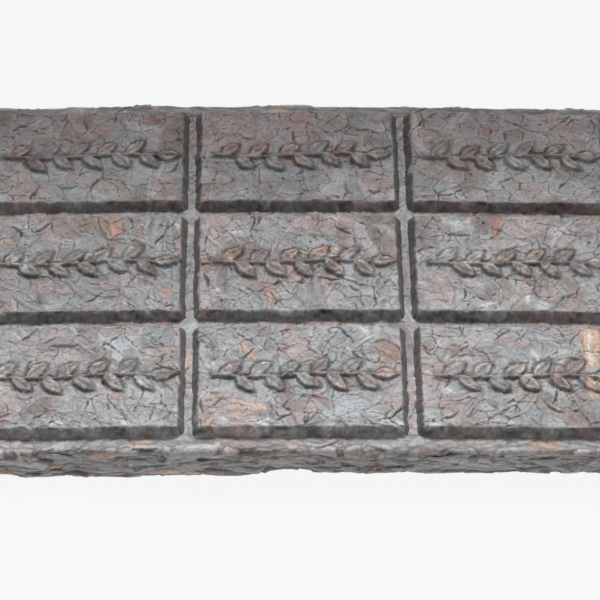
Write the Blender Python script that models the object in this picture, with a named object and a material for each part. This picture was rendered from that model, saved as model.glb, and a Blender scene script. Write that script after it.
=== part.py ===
"""A pressed oolong tea brick: a slab of whole and broken leaf with a rim, scored into tablets that snap off.

Run with: blender --background --python part.py
Units are metres and +Z is up. The brick lies flat, its long side along X, with its underside at Z = 0
and its middle over the origin.
"""

import math
import random

import bmesh
import bpy
from mathutils import Matrix, Vector, noise

# The scored pattern
COLUMNS = 3
ROWS = 3
COLUMN_PITCH = 0.0320  # tablet to tablet along X
ROW_PITCH = 0.0200  # tablet to tablet along Y
GROOVE_FLOOR = 0.0010  # flat width at the bottom of a score line
WALL_RUN = 0.0010  # how far a tablet's sloping wall runs out, on plan
TABLET_RISE = 0.0017  # tablet face above the score lines
TABLET_CORNER = 0.0011  # plan radius of a tablet's corners
TABLET_EDGE = 0.0003  # bevel round a tablet's face

# The slab under it
RIM_LEDGE = 0.0020  # flat rim outside the outermost tablets
RIM_HEIGHT = 0.0052  # slab thickness at its two ends
CROWN = 0.0009  # how much thicker the slab is in its middle
BRICK_CORNER = 0.0030  # plan radius of the brick's corners
RIM_EDGE_IN = 0.00036  # how far the softened edge between rim and side is drawn in
RIM_EDGE_DOWN = 0.0003  # and how far it is drawn down
RAGGED = 0.00035  # how far the pressed side wanders in and out
BULGE = 1.2  # the side's swell between its two edges, as a share of RAGGED
BROAD_WANDER = (160, 300, 1.3)  # waves per metre along the side, waves per metre upwards, and share of RAGGED
FINE_WANDER = (420, 900, 0.9)
MOULD_GAP = 0.0005  # how far a leaf can stand out of the side before the mould's wall flattens it
SLAB_FACES = (36, 22)  # faces of the slab's grid along X and Y
SIDE_BANDS = 3  # rows of faces up the side
TABLET_SINK = 0.0008  # how deep a tablet's block reaches into the slab

# The sprig pressed into each tablet
SPRIG_LENGTH = 0.0255
SPRIG_LEAVES = 5  # leaves on each side of the stem
SPRIG_LEAF_LENGTH = 0.0037
SPRIG_LEAF_WIDTH = 0.0019
SPRIG_LEAF_ANGLE = math.radians(40)  # between leaf and stem
SPRIG_RISE = 0.0004  # above the tablet face
STEM_WIDTH = 0.0005
STEM_SWAY = 0.0003

# Leaf pieces that stand out of the pressed surface: how many, and the least and most of each size
FACE_FLAKES = 8  # on each tablet, half of them on each side of its sprig
FACE_FLAKE_LENGTH = (0.0045, 0.0085)
FACE_FLAKE_WIDTH = (0.0016, 0.0028)
FACE_FLAKE_RISE = (0.00014, 0.00030)
FACE_FLAKE_TURN = 0.3  # radians either way from the long side
LEDGE_FLAKES = 16  # round the rim
LEDGE_FLAKE_LENGTH = (0.0032, 0.0062)
LEDGE_FLAKE_WIDTH = (0.0009, 0.0014)
LEDGE_FLAKE_RISE = (0.0001, 0.0002)
SIDE_LEAVES = 70  # round the four sides
SIDE_LEAF_LENGTH = (0.0040, 0.0095)
SIDE_LEAF_DEPTH = (0.0012, 0.0019)
SIDE_LEAF_THICKNESS = (0.0008, 0.0014)
SIDE_LEAF_MARGIN = 0.0009  # clear of the surface below and of the rim above
LEAF_SLOPE = 0.12  # radians
LEAF_PINCH = 0.35  # how much narrower a leaf piece is at its two ends
FLAKE_SINK = 0.0004  # depth of a leaf piece's root in the brick
FLAKE_TILT = 0.05  # radians
GOLDEN_STEP = 0.6180340  # shares of a whole turn that spread points evenly without clumps
PLASTIC_STEPS = (0.7548777, 0.5698403)
SEED = 11

SLAB_LENGTH = COLUMNS * COLUMN_PITCH - GROOVE_FLOOR + 2 * RIM_LEDGE
SLAB_WIDTH = ROWS * ROW_PITCH - GROOVE_FLOOR + 2 * RIM_LEDGE
FOOT_LENGTH = COLUMN_PITCH - GROOVE_FLOOR
FOOT_WIDTH = ROW_PITCH - GROOVE_FLOOR
FACE_LENGTH = FOOT_LENGTH - 2 * WALL_RUN
FACE_WIDTH = FOOT_WIDTH - 2 * WALL_RUN
SPRIG_BAND = 2 * SPRIG_LEAF_LENGTH * math.sin(SPRIG_LEAF_ANGLE) + SPRIG_LEAF_WIDTH

TEA_COLOUR = (0.215, 0.200, 0.195, 1.0)
TEA_ROUGHNESS = 0.55


def clear_scene():
    for obj in list(bpy.data.objects):
        bpy.data.objects.remove(obj)


def tea_material():
    material = bpy.data.materials.new("pressed_tea")
    material.use_nodes = True
    shader = material.node_tree.nodes["Principled BSDF"]
    shader.inputs["Base Color"].default_value = TEA_COLOUR
    shader.inputs["Roughness"].default_value = TEA_ROUGHNESS
    shader.inputs["Metallic"].default_value = 0.0
    return material


def crown_at(x):
    """Extra thickness of the slab at x: a shallow arch along the long side."""
    return CROWN * (1 - (2 * x / SLAB_LENGTH) ** 2)


def floor_at(x):
    """Height of the score lines and the rim at x."""
    return RIM_HEIGHT + crown_at(x)


def face_at(x):
    """Height of the tablets' faces at x."""
    return floor_at(x) + TABLET_RISE


def new_object(name, bm, collection):
    mesh = bpy.data.meshes.new(name)
    bmesh.ops.recalc_face_normals(bm, faces=bm.faces)
    bm.to_mesh(mesh)
    bm.free()
    obj = bpy.data.objects.new(name, mesh)
    collection.objects.link(obj)
    return obj


def tablet_centres():
    """(x, y) of each tablet's middle, row by row."""
    for row in range(ROWS):
        for column in range(COLUMNS):
            x = (column - (COLUMNS - 1) / 2) * COLUMN_PITCH
            y = (row - (ROWS - 1) / 2) * ROW_PITCH
            yield x, y


def rounded_plan(x, y):
    """Draws the plan's four square corners in to arcs, and leaves the rest of the grid where it is."""
    inner_x = SLAB_LENGTH / 2 - BRICK_CORNER
    inner_y = SLAB_WIDTH / 2 - BRICK_CORNER
    across = (abs(x) - inner_x) / BRICK_CORNER
    along = (abs(y) - inner_y) / BRICK_CORNER
    if across <= 0 or along <= 0:
        return x, y
    new_x = inner_x + BRICK_CORNER * across * math.sqrt(1 - along**2 / 2)
    new_y = inner_y + BRICK_CORNER * along * math.sqrt(1 - across**2 / 2)
    return math.copysign(new_x, x), math.copysign(new_y, y)


def wander(point):
    """A signed share of RAGGED for the pressed side at this point, in flat streaks along the side."""
    total = 0.0
    for shift, (along, upwards, share) in enumerate((BROAD_WANDER, FINE_WANDER)):
        total += share * noise.noise(Vector((point.x * along, point.y * along, point.z * upwards + 7 * shift)))
    return total


def make_slab(collection):
    """The slab: a flat underside, a crowned top and rough sides with a softened upper edge."""
    bm = bmesh.new()
    bmesh.ops.create_grid(bm, x_segments=SLAB_FACES[0], y_segments=SLAB_FACES[1], size=0.5)
    for vert in bm.verts:
        x, y = rounded_plan(vert.co.x * SLAB_LENGTH, vert.co.y * SLAB_WIDTH)
        vert.co = Vector((x, y, 0.0))
    grown = bmesh.ops.extrude_face_region(bm, geom=bm.faces[:])["geom"]
    upper = [item for item in grown if isinstance(item, bmesh.types.BMVert)]
    for vert in upper:
        vert.co.z = RIM_HEIGHT
    uprights = [edge for edge in bm.edges if abs(edge.verts[0].co.z - edge.verts[1].co.z) > RIM_HEIGHT / 2]
    bmesh.ops.subdivide_edges(bm, edges=uprights, cuts=SIDE_BANDS - 1, use_grid_fill=True)
    shape_slab_sides(bm)
    merge_flat_faces(bm)
    return new_object("tea_brick", bm, collection)


def shape_slab_sides(bm):
    """Roughens the side, softens its upper edge and arches the top."""
    inner_x = SLAB_LENGTH / 2 - BRICK_CORNER
    inner_y = SLAB_WIDTH / 2 - BRICK_CORNER
    side = {
        vert
        for face in bm.faces
        if abs(face.normal.z) < 0.5 or len({round(v.co.z, 5) for v in face.verts}) > 1
        for vert in face.verts
    }
    for vert in side:
        core = Vector((max(-inner_x, min(inner_x, vert.co.x)), max(-inner_y, min(inner_y, vert.co.y)), 0))
        outward = (Vector((vert.co.x, vert.co.y, 0)) - core).normalized()
        height = vert.co.z / RIM_HEIGHT
        shift = RAGGED * (wander(vert.co) + BULGE * height * (1 - height))
        if height > 0.99:
            shift -= RIM_EDGE_IN
        vert.co += outward * shift
    for vert in bm.verts:
        height = vert.co.z / RIM_HEIGHT
        lift = crown_at(vert.co.x) * height
        if vert in side and height > 0.99:
            lift -= RIM_EDGE_DOWN
        vert.co.z += lift


def merge_flat_faces(bm):
    """One face for the flat underside, which the brick rests on."""
    bmesh.ops.recalc_face_normals(bm, faces=bm.faces)
    under = [face for face in bm.faces if all(vert.co.z < 1e-6 for vert in face.verts)]
    bmesh.ops.dissolve_faces(bm, faces=under, use_verts=False)


def make_tablet(name, centre, collection):
    """One tablet: a block with four sloping walls, round corners and a softened face edge."""
    bm = bmesh.new()
    bmesh.ops.create_cube(bm, size=1.0)
    below = WALL_RUN * TABLET_SINK / TABLET_RISE
    for vert in bm.verts:
        is_face = vert.co.z > 0
        length = FACE_LENGTH if is_face else FOOT_LENGTH + 2 * below
        width = FACE_WIDTH if is_face else FOOT_WIDTH + 2 * below
        vert.co = Vector((vert.co.x * length, vert.co.y * width, TABLET_RISE if is_face else -TABLET_SINK))
    corners = [edge for edge in bm.edges if abs(edge.verts[0].co.z - edge.verts[1].co.z) > TABLET_RISE]
    bmesh.ops.bevel(bm, geom=corners, offset=TABLET_CORNER, segments=3, profile=0.5, affect="EDGES", material=-1)
    face_edges = [edge for edge in bm.edges if all(vert.co.z > TABLET_RISE * 0.99 for vert in edge.verts)]
    bmesh.ops.bevel(bm, geom=face_edges, offset=TABLET_EDGE, segments=1, profile=0.5, affect="EDGES", material=-1)
    for vert in bm.verts:
        vert.co.x += centre[0]
        vert.co.y += centre[1]
        vert.co.z += floor_at(vert.co.x)
    return new_object(name, bm, collection)


def leaf_blank(bm, length, width, low, high, sides, taper):
    """A leaf-shaped pad in bm, pointed along X, whose upper outline is drawn in by taper. Returns its vertices."""
    ring = bmesh.ops.create_circle(bm, cap_ends=True, cap_tris=False, segments=sides, radius=1.0)["verts"]
    bottom = ring[0].link_faces[0]
    for vert in ring:
        pinch = 1 - LEAF_PINCH * abs(vert.co.x)
        vert.co = Vector((vert.co.x * length / 2, vert.co.y * width / 2 * pinch, low))
    grown = bmesh.ops.extrude_face_region(bm, geom=[bottom])["geom"]
    top = [item for item in grown if isinstance(item, bmesh.types.BMVert)]
    for vert in top:
        vert.co = Vector((vert.co.x * (1 - taper), vert.co.y * (1 - taper), high))
    return ring + top


def stem_bend(x):
    """Sideways sway of a sprig's stem at x from its middle."""
    return STEM_SWAY * math.sin(2 * math.pi * x / SPRIG_LENGTH)


def make_sprig_leaf(name, centre, at, turn, collection):
    """One leaf of a sprig, at a point along its stem, growing out at the angle turn."""
    bm = bmesh.new()
    verts = leaf_blank(bm, SPRIG_LEAF_LENGTH, SPRIG_LEAF_WIDTH, -FLAKE_SINK, SPRIG_RISE, 6, 0.2)
    bmesh.ops.translate(bm, verts=verts, vec=(SPRIG_LEAF_LENGTH * 0.52, 0, 0))
    bmesh.ops.rotate(bm, verts=verts, cent=(0, 0, 0), matrix=Matrix.Rotation(turn, 3, "Z"))
    base = Vector((centre[0] + at, centre[1] + stem_bend(at), face_at(centre[0] + at)))
    bmesh.ops.translate(bm, verts=verts, vec=base)
    return new_object(name, bm, collection)


def make_stem(name, centre, collection):
    """A sprig's stem: a low ridge that sways along the tablet."""
    bm = bmesh.new()
    bmesh.ops.create_cube(bm, size=1.0)
    long_edges = [edge for edge in bm.edges if abs(edge.verts[0].co.x - edge.verts[1].co.x) > 0.5]
    bmesh.ops.subdivide_edges(bm, edges=long_edges, cuts=5, use_grid_fill=True)
    for vert in bm.verts:
        x = vert.co.x * SPRIG_LENGTH
        width = STEM_WIDTH * (0.7 if vert.co.z > 0 else 1.2)
        y = vert.co.y * width + stem_bend(x)
        z = SPRIG_RISE * 0.8 if vert.co.z > 0 else -FLAKE_SINK * 1.2
        vert.co = Vector((centre[0] + x, centre[1] + y, face_at(centre[0] + x) + z))
    return new_object(name, bm, collection)


def make_sprig(number, centre, collection):
    """A stem with leaves set alternately on its two sides and one at its tip."""
    make_stem(f"stem_{number}", centre, collection)
    step = (SPRIG_LENGTH - SPRIG_LEAF_LENGTH) / SPRIG_LEAVES
    for side in (-1, 1):
        for place in range(SPRIG_LEAVES):
            at = -SPRIG_LENGTH / 2 + (place + (0.3 if side > 0 else 0.8)) * step
            make_sprig_leaf(f"sprig_{number}_{side}_{place}", centre, at, side * SPRIG_LEAF_ANGLE, collection)
    tip = SPRIG_LENGTH / 2 - SPRIG_LEAF_LENGTH * 0.6
    make_sprig_leaf(f"sprig_{number}_tip", centre, tip, 0.0, collection)


def make_flake(name, place, turn, length, width, height, draw, collection):
    """A broken leaf piece half sunk in an upward face at place, a point on that face."""
    bm = bmesh.new()
    verts = leaf_blank(bm, length, width, -FLAKE_SINK, height, 6, 0.25)
    for vert in verts:
        vert.co.x *= draw.uniform(0.85, 1.1)
        vert.co.y *= draw.uniform(0.8, 1.15)
    pitch = Matrix.Rotation(draw.uniform(-FLAKE_TILT, FLAKE_TILT), 3, "Y")
    tilt = pitch @ Matrix.Rotation(draw.uniform(-FLAKE_TILT, FLAKE_TILT), 3, "X")
    bmesh.ops.rotate(bm, verts=verts, cent=(0, 0, 0), matrix=Matrix.Rotation(turn, 3, "Z") @ tilt)
    bmesh.ops.translate(bm, verts=verts, vec=place)
    return new_object(name, bm, collection)


def scatter_face_flakes(collection):
    """Leaf pieces on every tablet's face, above and below its sprig and inside the face's edges."""
    draw = random.Random(SEED)
    for number, centre in enumerate(tablet_centres()):
        for index in range(FACE_FLAKES):
            across, along = ((0.5 + step * (index + number * FACE_FLAKES)) % 1 for step in PLASTIC_STEPS)
            length = draw.uniform(*FACE_FLAKE_LENGTH)
            width = draw.uniform(*FACE_FLAKE_WIDTH)
            turn = draw.uniform(-FACE_FLAKE_TURN, FACE_FLAKE_TURN)
            reach_x = (abs(math.cos(turn)) * length + abs(math.sin(turn)) * width) / 2 + TABLET_EDGE
            reach_y = (abs(math.sin(turn)) * length + abs(math.cos(turn)) * width) / 2 + TABLET_EDGE
            room = (FACE_WIDTH - SPRIG_BAND) / 2 - 2 * reach_y
            side = 1 if index % 2 else -1
            x = centre[0] + (across - 0.5) * (FACE_LENGTH - 2 * reach_x)
            y = centre[1] + side * (SPRIG_BAND / 2 + reach_y + along * room)
            place = Vector((x, y, face_at(x)))
            rise = draw.uniform(*FACE_FLAKE_RISE)
            make_flake(f"flake_{number}_{index}", place, turn, length, width, rise, draw, collection)


def rim_point(share, inset):
    """(x, y, direction along the rim, outward direction) a share of the way round, inset from the edge."""
    half_x = SLAB_LENGTH / 2 - inset
    half_y = SLAB_WIDTH / 2 - inset
    run = share * 4 * (half_x + half_y)
    for start, end, length in (
        ((-half_x, -half_y), (half_x, -half_y), 2 * half_x),
        ((half_x, -half_y), (half_x, half_y), 2 * half_y),
        ((half_x, half_y), (-half_x, half_y), 2 * half_x),
        ((-half_x, half_y), (-half_x, -half_y), 2 * half_y),
    ):
        if run <= length:
            along = Vector((end[0] - start[0], end[1] - start[1])) / length
            point = Vector(start) + along * run
            return point.x, point.y, math.atan2(along.y, along.x), Vector((along.y, -along.x))
        run -= length
    return start[0], start[1], 0.0, Vector((0, -1))


def scatter_ledge_flakes(collection):
    """Long leaf pieces pressed along the rim."""
    draw = random.Random(SEED + 1)
    for index in range(LEDGE_FLAKES):
        share = (index + draw.uniform(0.2, 0.8)) / LEDGE_FLAKES
        x, y, heading, _ = rim_point(share, RIM_LEDGE * 0.55)
        reach = BRICK_CORNER * 0.75
        x = max(-SLAB_LENGTH / 2 + reach, min(SLAB_LENGTH / 2 - reach, x))
        place = Vector((x, y, floor_at(x)))
        length = draw.uniform(*LEDGE_FLAKE_LENGTH)
        width = draw.uniform(*LEDGE_FLAKE_WIDTH)
        turn = heading + draw.uniform(-LEAF_SLOPE, LEAF_SLOPE)
        rise = draw.uniform(*LEDGE_FLAKE_RISE)
        make_flake(f"ledge_{index}", place, turn, length, width, rise, draw, collection)


def make_side_leaf(name, point, heading, outward, size, draw, collection):
    """A folded leaf edge lying along the side: a flat spindle with five faces round it."""
    bm = bmesh.new()
    verts = bmesh.ops.create_uvsphere(bm, u_segments=5, v_segments=2, radius=0.5)["verts"]
    length, depth, thick = size
    for vert in verts:
        vert.co = Vector((vert.co.z * length, vert.co.x * depth, vert.co.y * thick))
    slope = Matrix.Rotation(draw.uniform(-LEAF_SLOPE, LEAF_SLOPE), 3, "Y")
    bmesh.ops.rotate(bm, verts=verts, cent=(0, 0, 0), matrix=Matrix.Rotation(heading, 3, "Z") @ slope)
    stand_out = depth * draw.uniform(-0.05, 0.15)
    bmesh.ops.translate(bm, verts=verts, vec=point + outward.to_3d() * stand_out)
    return new_object(name, bm, collection)


def scatter_side_leaves(collection):
    """Leaf edges in layers along the four straight sides, clear of the surface that the brick lies on."""
    draw = random.Random(SEED + 2)
    for index in range(SIDE_LEAVES):
        x, y, heading, outward = rim_point(index * GOLDEN_STEP % 1, 0.0)
        size = [draw.uniform(*limits) for limits in (SIDE_LEAF_LENGTH, SIDE_LEAF_DEPTH, SIDE_LEAF_THICKNESS)]
        keep_x = SLAB_LENGTH / 2 - BRICK_CORNER - size[0] * 0.3
        keep_y = SLAB_WIDTH / 2 - BRICK_CORNER - size[0] * 0.3
        if outward.x:
            y = max(-keep_y, min(keep_y, y))
        else:
            x = max(-keep_x, min(keep_x, x))
        height = SIDE_LEAF_MARGIN + (floor_at(x) - 2 * SIDE_LEAF_MARGIN) * (index * PLASTIC_STEPS[0] % 1)
        make_side_leaf(f"side_{index}", Vector((x, y, height)), heading, outward, size, draw, collection)


def apply_boolean(brick, operation, **settings):
    """Runs one Boolean on the brick and keeps its result as the brick's own mesh."""
    boolean = brick.modifiers.new(operation.lower(), "BOOLEAN")
    boolean.operation = operation
    boolean.solver = "EXACT"
    for setting, value in settings.items():
        setattr(boolean, setting, value)
    graph = bpy.context.evaluated_depsgraph_get()
    result = bpy.data.meshes.new_from_object(brick.evaluated_get(graph))
    brick.modifiers.clear()
    brick.data = result


def fuse(brick, pieces):
    """Joins every object of the collection to the brick in one union, and removes them."""
    apply_boolean(brick, "UNION", operand_type="COLLECTION", collection=pieces)
    for obj in list(pieces.objects):
        bpy.data.objects.remove(obj)
    bpy.data.collections.remove(pieces)


def press_against_mould(brick, collection):
    """Flattens the leaves that stand out furthest, as the mould's four walls did."""
    bm = bmesh.new()
    bmesh.ops.create_cube(bm, size=1.0)
    room = Vector((SLAB_LENGTH + 2 * MOULD_GAP, SLAB_WIDTH + 2 * MOULD_GAP, 4 * RIM_HEIGHT))
    bmesh.ops.scale(bm, verts=bm.verts, vec=room)
    bmesh.ops.translate(bm, verts=bm.verts, vec=(0, 0, RIM_HEIGHT))
    mould = new_object("mould", bm, collection)
    apply_boolean(brick, "INTERSECT", object=mould)
    bpy.data.objects.remove(mould)


def main():
    clear_scene()
    scene_collection = bpy.context.scene.collection
    pieces = bpy.data.collections.new("pressed_pieces")
    scene_collection.children.link(pieces)
    brick = make_slab(scene_collection)
    for number, centre in enumerate(tablet_centres()):
        make_tablet(f"tablet_{number}", centre, pieces)
        make_sprig(number, centre, pieces)
    scatter_face_flakes(pieces)
    scatter_ledge_flakes(pieces)
    scatter_side_leaves(pieces)
    fuse(brick, pieces)
    press_against_mould(brick, scene_collection)
    brick.data.materials.clear()
    brick.data.materials.append(tea_material())


main()
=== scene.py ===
import math
import random

import bmesh
import bpy
import numpy as np
from mathutils import Matrix, Vector


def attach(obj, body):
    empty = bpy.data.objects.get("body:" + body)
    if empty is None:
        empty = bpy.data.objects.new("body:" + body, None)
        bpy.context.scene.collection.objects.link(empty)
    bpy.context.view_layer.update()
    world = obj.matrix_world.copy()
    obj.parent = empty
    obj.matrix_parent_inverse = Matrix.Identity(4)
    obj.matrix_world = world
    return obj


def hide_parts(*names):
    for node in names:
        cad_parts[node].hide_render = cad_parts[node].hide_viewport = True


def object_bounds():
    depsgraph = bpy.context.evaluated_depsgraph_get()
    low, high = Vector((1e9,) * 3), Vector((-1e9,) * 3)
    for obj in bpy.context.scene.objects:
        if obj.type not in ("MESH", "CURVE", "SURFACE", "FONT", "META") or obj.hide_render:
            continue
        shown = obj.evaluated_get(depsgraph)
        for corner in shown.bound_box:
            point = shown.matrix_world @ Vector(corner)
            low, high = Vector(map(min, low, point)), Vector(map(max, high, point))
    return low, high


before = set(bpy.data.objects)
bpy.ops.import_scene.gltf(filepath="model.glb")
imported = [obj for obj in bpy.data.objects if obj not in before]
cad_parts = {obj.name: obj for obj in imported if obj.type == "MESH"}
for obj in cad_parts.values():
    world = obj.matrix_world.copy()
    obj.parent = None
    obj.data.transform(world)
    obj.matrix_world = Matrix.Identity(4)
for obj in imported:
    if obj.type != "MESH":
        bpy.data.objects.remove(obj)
cadLow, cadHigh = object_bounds()
mm = 0.001

brick = {
    "columns": 3,
    "rows": 3,
    "columnPitch": 32 * mm,
    "rowPitch": 20 * mm,
    "grooveFloor": 1.0 * mm,
    "wallRun": 1.0 * mm,  # how far a tablet's sloping wall runs out, on plan
    "rise": 1.7 * mm,  # tablet face above the grooves
    "tabletCorner": 1.1 * mm,
    "crown": 0.9 * mm,  # the slab is this much thicker in its middle
    "corner": 3.0 * mm,
    "mouldGap": 0.5 * mm,  # leaves of the frame's solid stand this far out of the slab
    "sprigRise": 0.4 * mm,
}
slabLength = cadHigh.x - cadLow.x - 2 * brick["mouldGap"]
slabWidth = cadHigh.y - cadLow.y - 2 * brick["mouldGap"]
rimHeight = cadHigh.z - brick["crown"] - brick["rise"] - brick["sprigRise"]

leafColours = {  # name: colour, how common it is
    "slate": ((0.266, 0.260, 0.254), 34),
    "bluish": ((0.250, 0.267, 0.269), 20),
    "ash": ((0.312, 0.304, 0.296), 14),
    "rose": ((0.306, 0.250, 0.234), 15),
    "russet": ((0.222, 0.174, 0.154), 7),
    "bark": ((0.172, 0.152, 0.142), 6),
    "pale": ((0.350, 0.368, 0.374), 4),
    "peach": ((0.425, 0.318, 0.262), 0.6),
    "salmon": ((0.380, 0.226, 0.172), 0),
    "ember": ((0.290, 0.128, 0.098), 0),
    "gold": ((0.500, 0.320, 0.200), 0),
    "cream": ((0.620, 0.540, 0.470), 0),
    # pale and bright are also the glints' colours; bright serves only them, as painted highlights
    "bright": ((0.480, 0.500, 0.505), 0),
}


def latticeValue(column, row, seed):  # a repeatable number from 0 to 1 for each crossing of a grid
    mixed = (column * 374761393 + row * 668265263 + seed * 974634777) & 0xFFFFFFFF
    mixed = ((mixed ^ (mixed >> 13)) * 1274126177) & 0xFFFFFFFF
    return ((mixed ^ (mixed >> 16)) & 0xFFFF) / 65535


def softNoise(u, v, seed, around=None):  # from -1 to 1, a bump for each unit; u repeats after around units
    column, row = np.floor(u).astype(np.int64), np.floor(v).astype(np.int64)
    a, b = u - column, v - row
    a, b = a * a * (3 - 2 * a), b * b * (3 - 2 * b)
    beside = column + 1
    if around:
        column, beside = column % around, beside % around
    near = latticeValue(column, row, seed) * (1 - a) + latticeValue(beside, row, seed) * a
    far = latticeValue(column, row + 1, seed) * (1 - a) + latticeValue(beside, row + 1, seed) * a
    return 2 * (near * (1 - b) + far * b) - 1


def bumps(u, v, size, seed, sizeV=None):  # the same with bumps of this size in mm, or this size and sizeV
    return softNoise(u / (size * mm), v / ((sizeV or size) * mm), seed)


def bell(value, width):
    return np.exp(-((value / width) ** 2))


def smoothStep(low, high, value):
    share = np.clip((value - low) / (high - low), 0, 1)
    return share * share * (3 - 2 * share)


def floorAt(x):  # height of the grooves and the rim
    return rimHeight + brick["crown"] * (1 - (2 * x / slabLength) ** 2)


def insideRectangle(x, y, halfX, halfY, radius):  # how far inside a rectangle with round corners
    beyondX, beyondY = np.abs(x) - (halfX - radius), np.abs(y) - (halfY - radius)
    corner = np.hypot(np.maximum(beyondX, 0), np.maximum(beyondY, 0))
    return radius - corner - np.minimum(np.maximum(beyondX, beyondY), 0)


leafKinds = {  # in mm: least and most of some sizes, and how much the others vary
    "broad": dict(length=(6.0, 14.0), width=(2.6, 6.0), blunt=(1.8, 4.0), bend=1.2, dome=(-0.02, 0.04),
                  level=0.06, tilt=0.08, ripple=0.022, torn=0.46, faint=0.34, crease=0.05, fold=0.06),
    "strip": dict(length=(4.5, 12.0), width=(0.9, 2.2), blunt=(2.0, 5.0), bend=1.6, dome=(0.01, 0.06),
                  level=0.05, tilt=0.06, ripple=0.018, torn=0.26, faint=0.30, crease=0.05, fold=0.08),
    "roll": dict(length=(3.0, 8.0), width=(0.45, 0.95), blunt=(2.0, 5.0), bend=1.6, dome=(0.09, 0.18),
                 level=0.02, tilt=0.04, ripple=0.02, torn=0.08, faint=0.14, crease=0.0, fold=0.0),
    "crumb": dict(length=(0.8, 2.4), width=(0.5, 1.4), blunt=(1.6, 4.0), bend=0.3, dome=(0.0, 0.06),
                  level=0.05, tilt=0.05, ripple=0.02, torn=0.20, faint=0.20, crease=0.0, fold=0.0),
    # glints: small pale and bright spots, painted highlights
    "glint": dict(length=(0.6, 2.6), width=(0.25, 0.9), blunt=(1.8, 3.0), bend=0.3, dome=(0.02, 0.08),
                  level=0.03, tilt=0.06, ripple=0.01, torn=0.16, faint=0.4, crease=0.0, fold=0.0,
                  colours=("pale", "bright")),
    "accent": dict(length=(1.4, 5.0), width=(0.5, 1.7), blunt=(1.8, 5.0), bend=0.4, dome=(0.0, 0.06),
                   level=0.05, tilt=0.06, ripple=0.01, torn=0.18, faint=0.3, crease=0.0, fold=0.03,
                   colours=("peach", "peach", "salmon", "ember", "gold")),
    "fold": dict(length=(4.0, 12.0), width=(1.3, 3.2), blunt=(1.8, 3.2), bend=0.7, dome=(0.18, 0.46),
                 level=0.18, tilt=0.16, ripple=0.012, torn=0.22, faint=0.08, crease=0.03, fold=0.05),
    "layer": dict(length=(3.0, 9.0), width=(0.7, 1.5), blunt=(1.6, 4.0), bend=0.5, dome=(0.10, 0.26),
                  level=0.12, tilt=0.10, ripple=0.008, torn=0.14, faint=0.08, crease=0.0, fold=0.04),
}


def drawColour(draw, names, mean, spread):  # for one leaf, in a brightness of its own; names: None for all
    if names:
        colour = leafColours[draw.choice(names)][0]
    else:
        colours, shares = zip(*leafColours.values())
        colour = draw.choices(colours, shares)[0]
    bright = max(0.7, draw.gauss(mean, spread))
    return [channel * bright for channel in colour]


def drawLeaf(draw, kind, u, v, turn):
    sizes = leafKinds[kind]
    leaf = {"u": u, "v": v, "turn": turn, "colour": drawColour(draw, sizes.get("colours"), 1.0, 0.085)}
    leaf["number"] = draw.randrange(1, 4000)
    leaf["blunt"] = draw.uniform(*sizes["blunt"])
    leaf.update({name: draw.uniform(*sizes[name]) * mm for name in ("length", "width", "dome")})
    leaf.update({name: draw.uniform(-1, 1) * sizes[name] * mm for name in ("bend", "level", "fold")})
    leaf.update({name: draw.uniform(-1, 1) * sizes["tilt"] * mm for name in ("pitch", "roll")})
    leaf.update({name: sizes[name] * mm for name in ("ripple", "torn", "faint", "crease")})
    return leaf


def placeLeaf(draw, colour, u, v, length, width, turn, bend, blunt):  # a leaf of known place and size, in mm
    leaf = drawLeaf(draw, "strip" if width < 1.8 else "broad", u * mm, v * mm, math.radians(turn))
    leaf.update(length=length * mm, width=width * mm, bend=bend * mm, torn=0.16 * mm, blunt=blunt)
    leaf["colour"] = leafColours[colour][0]
    return leaf


def newSheet(lowU, lowV, sizeU, sizeV, pixel, loop=False):  # a flat map of a surface that leaves cover
    columns, rows = round(sizeU / pixel), round(sizeV / pixel)
    return {
        "lowU": lowU, "lowV": lowV, "stepU": sizeU / columns, "stepV": sizeV / rows,
        "columns": columns, "rows": rows, "loop": loop,
        "height": np.zeros((rows, columns)),
        "edge": np.full((rows, columns), 1.0 * mm),  # distance to the nearest outline or crease
        "crack": np.full((rows, columns), 1.0 * mm),  # distance to the nearest open crack
        "colour": np.tile(np.array(leafColours["bark"][0]), (rows, columns, 1)),
        "grain": np.zeros((rows, columns, 3)),  # along and across the leaf, in mm, and the leaf's number
    }


def sheetOver(halfX, halfY, pixel):
    return newSheet(-halfX, -halfY, 2 * halfX, 2 * halfY, pixel)


def pixelSpan(sheet, axis, low, high):  # the columns for axis U or rows for V between two places, and where
    first, last = (int((value - sheet["low" + axis]) / sheet["step" + axis]) for value in (low, high))
    if axis == "V" or not sheet["loop"]:
        first, last = max(first, 0), min(last, sheet["columns" if axis == "U" else "rows"])
    span = np.arange(first, max(last, first))
    return span, (span + 0.5) * sheet["step" + axis] + sheet["low" + axis]


def openCrack(sheet, draw, u, v, turn, length, width, wander=1.0):  # a wandering crack from u, v
    drift, step = wander * draw.gauss(0, 0.04), 0.3 * mm
    steps = max(3, round(length / step))
    points = [np.array((u, v))]
    for _ in range(steps):
        turn += drift + wander * draw.gauss(0, 0.24)
        points.append(points[-1] + step * np.array((math.cos(turn), math.sin(turn))))
    low, high = np.min(points, 0) - 0.5 * mm, np.max(points, 0) + 0.5 * mm
    columns, placesU = pixelSpan(sheet, "U", low[0], high[0])
    rows, placesV = pixelSpan(sheet, "V", low[1], high[1])
    nearest = np.full((len(rows), len(columns)), 1.0 * mm)
    for index in range(steps):
        run = points[index + 1] - points[index]
        du, dv = placesU[None, :] - points[index][0], placesV[:, None] - points[index][1]
        share = np.clip((du * run[0] + dv * run[1]) / step ** 2, 0, 1)
        half = width / 2 * (1 - (2 * (index + share) / steps - 1) ** 2)
        nearest = np.minimum(nearest, np.hypot(du - share * run[0], dv - share * run[1]) - half)
    at = np.ix_(rows, columns % sheet["columns"])
    sheet["crack"][at] = np.minimum(sheet["crack"][at], nearest)


evenSteps = (0.7548777, 0.5698403)  # steps round 1 that spread points over a square without clumps


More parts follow.
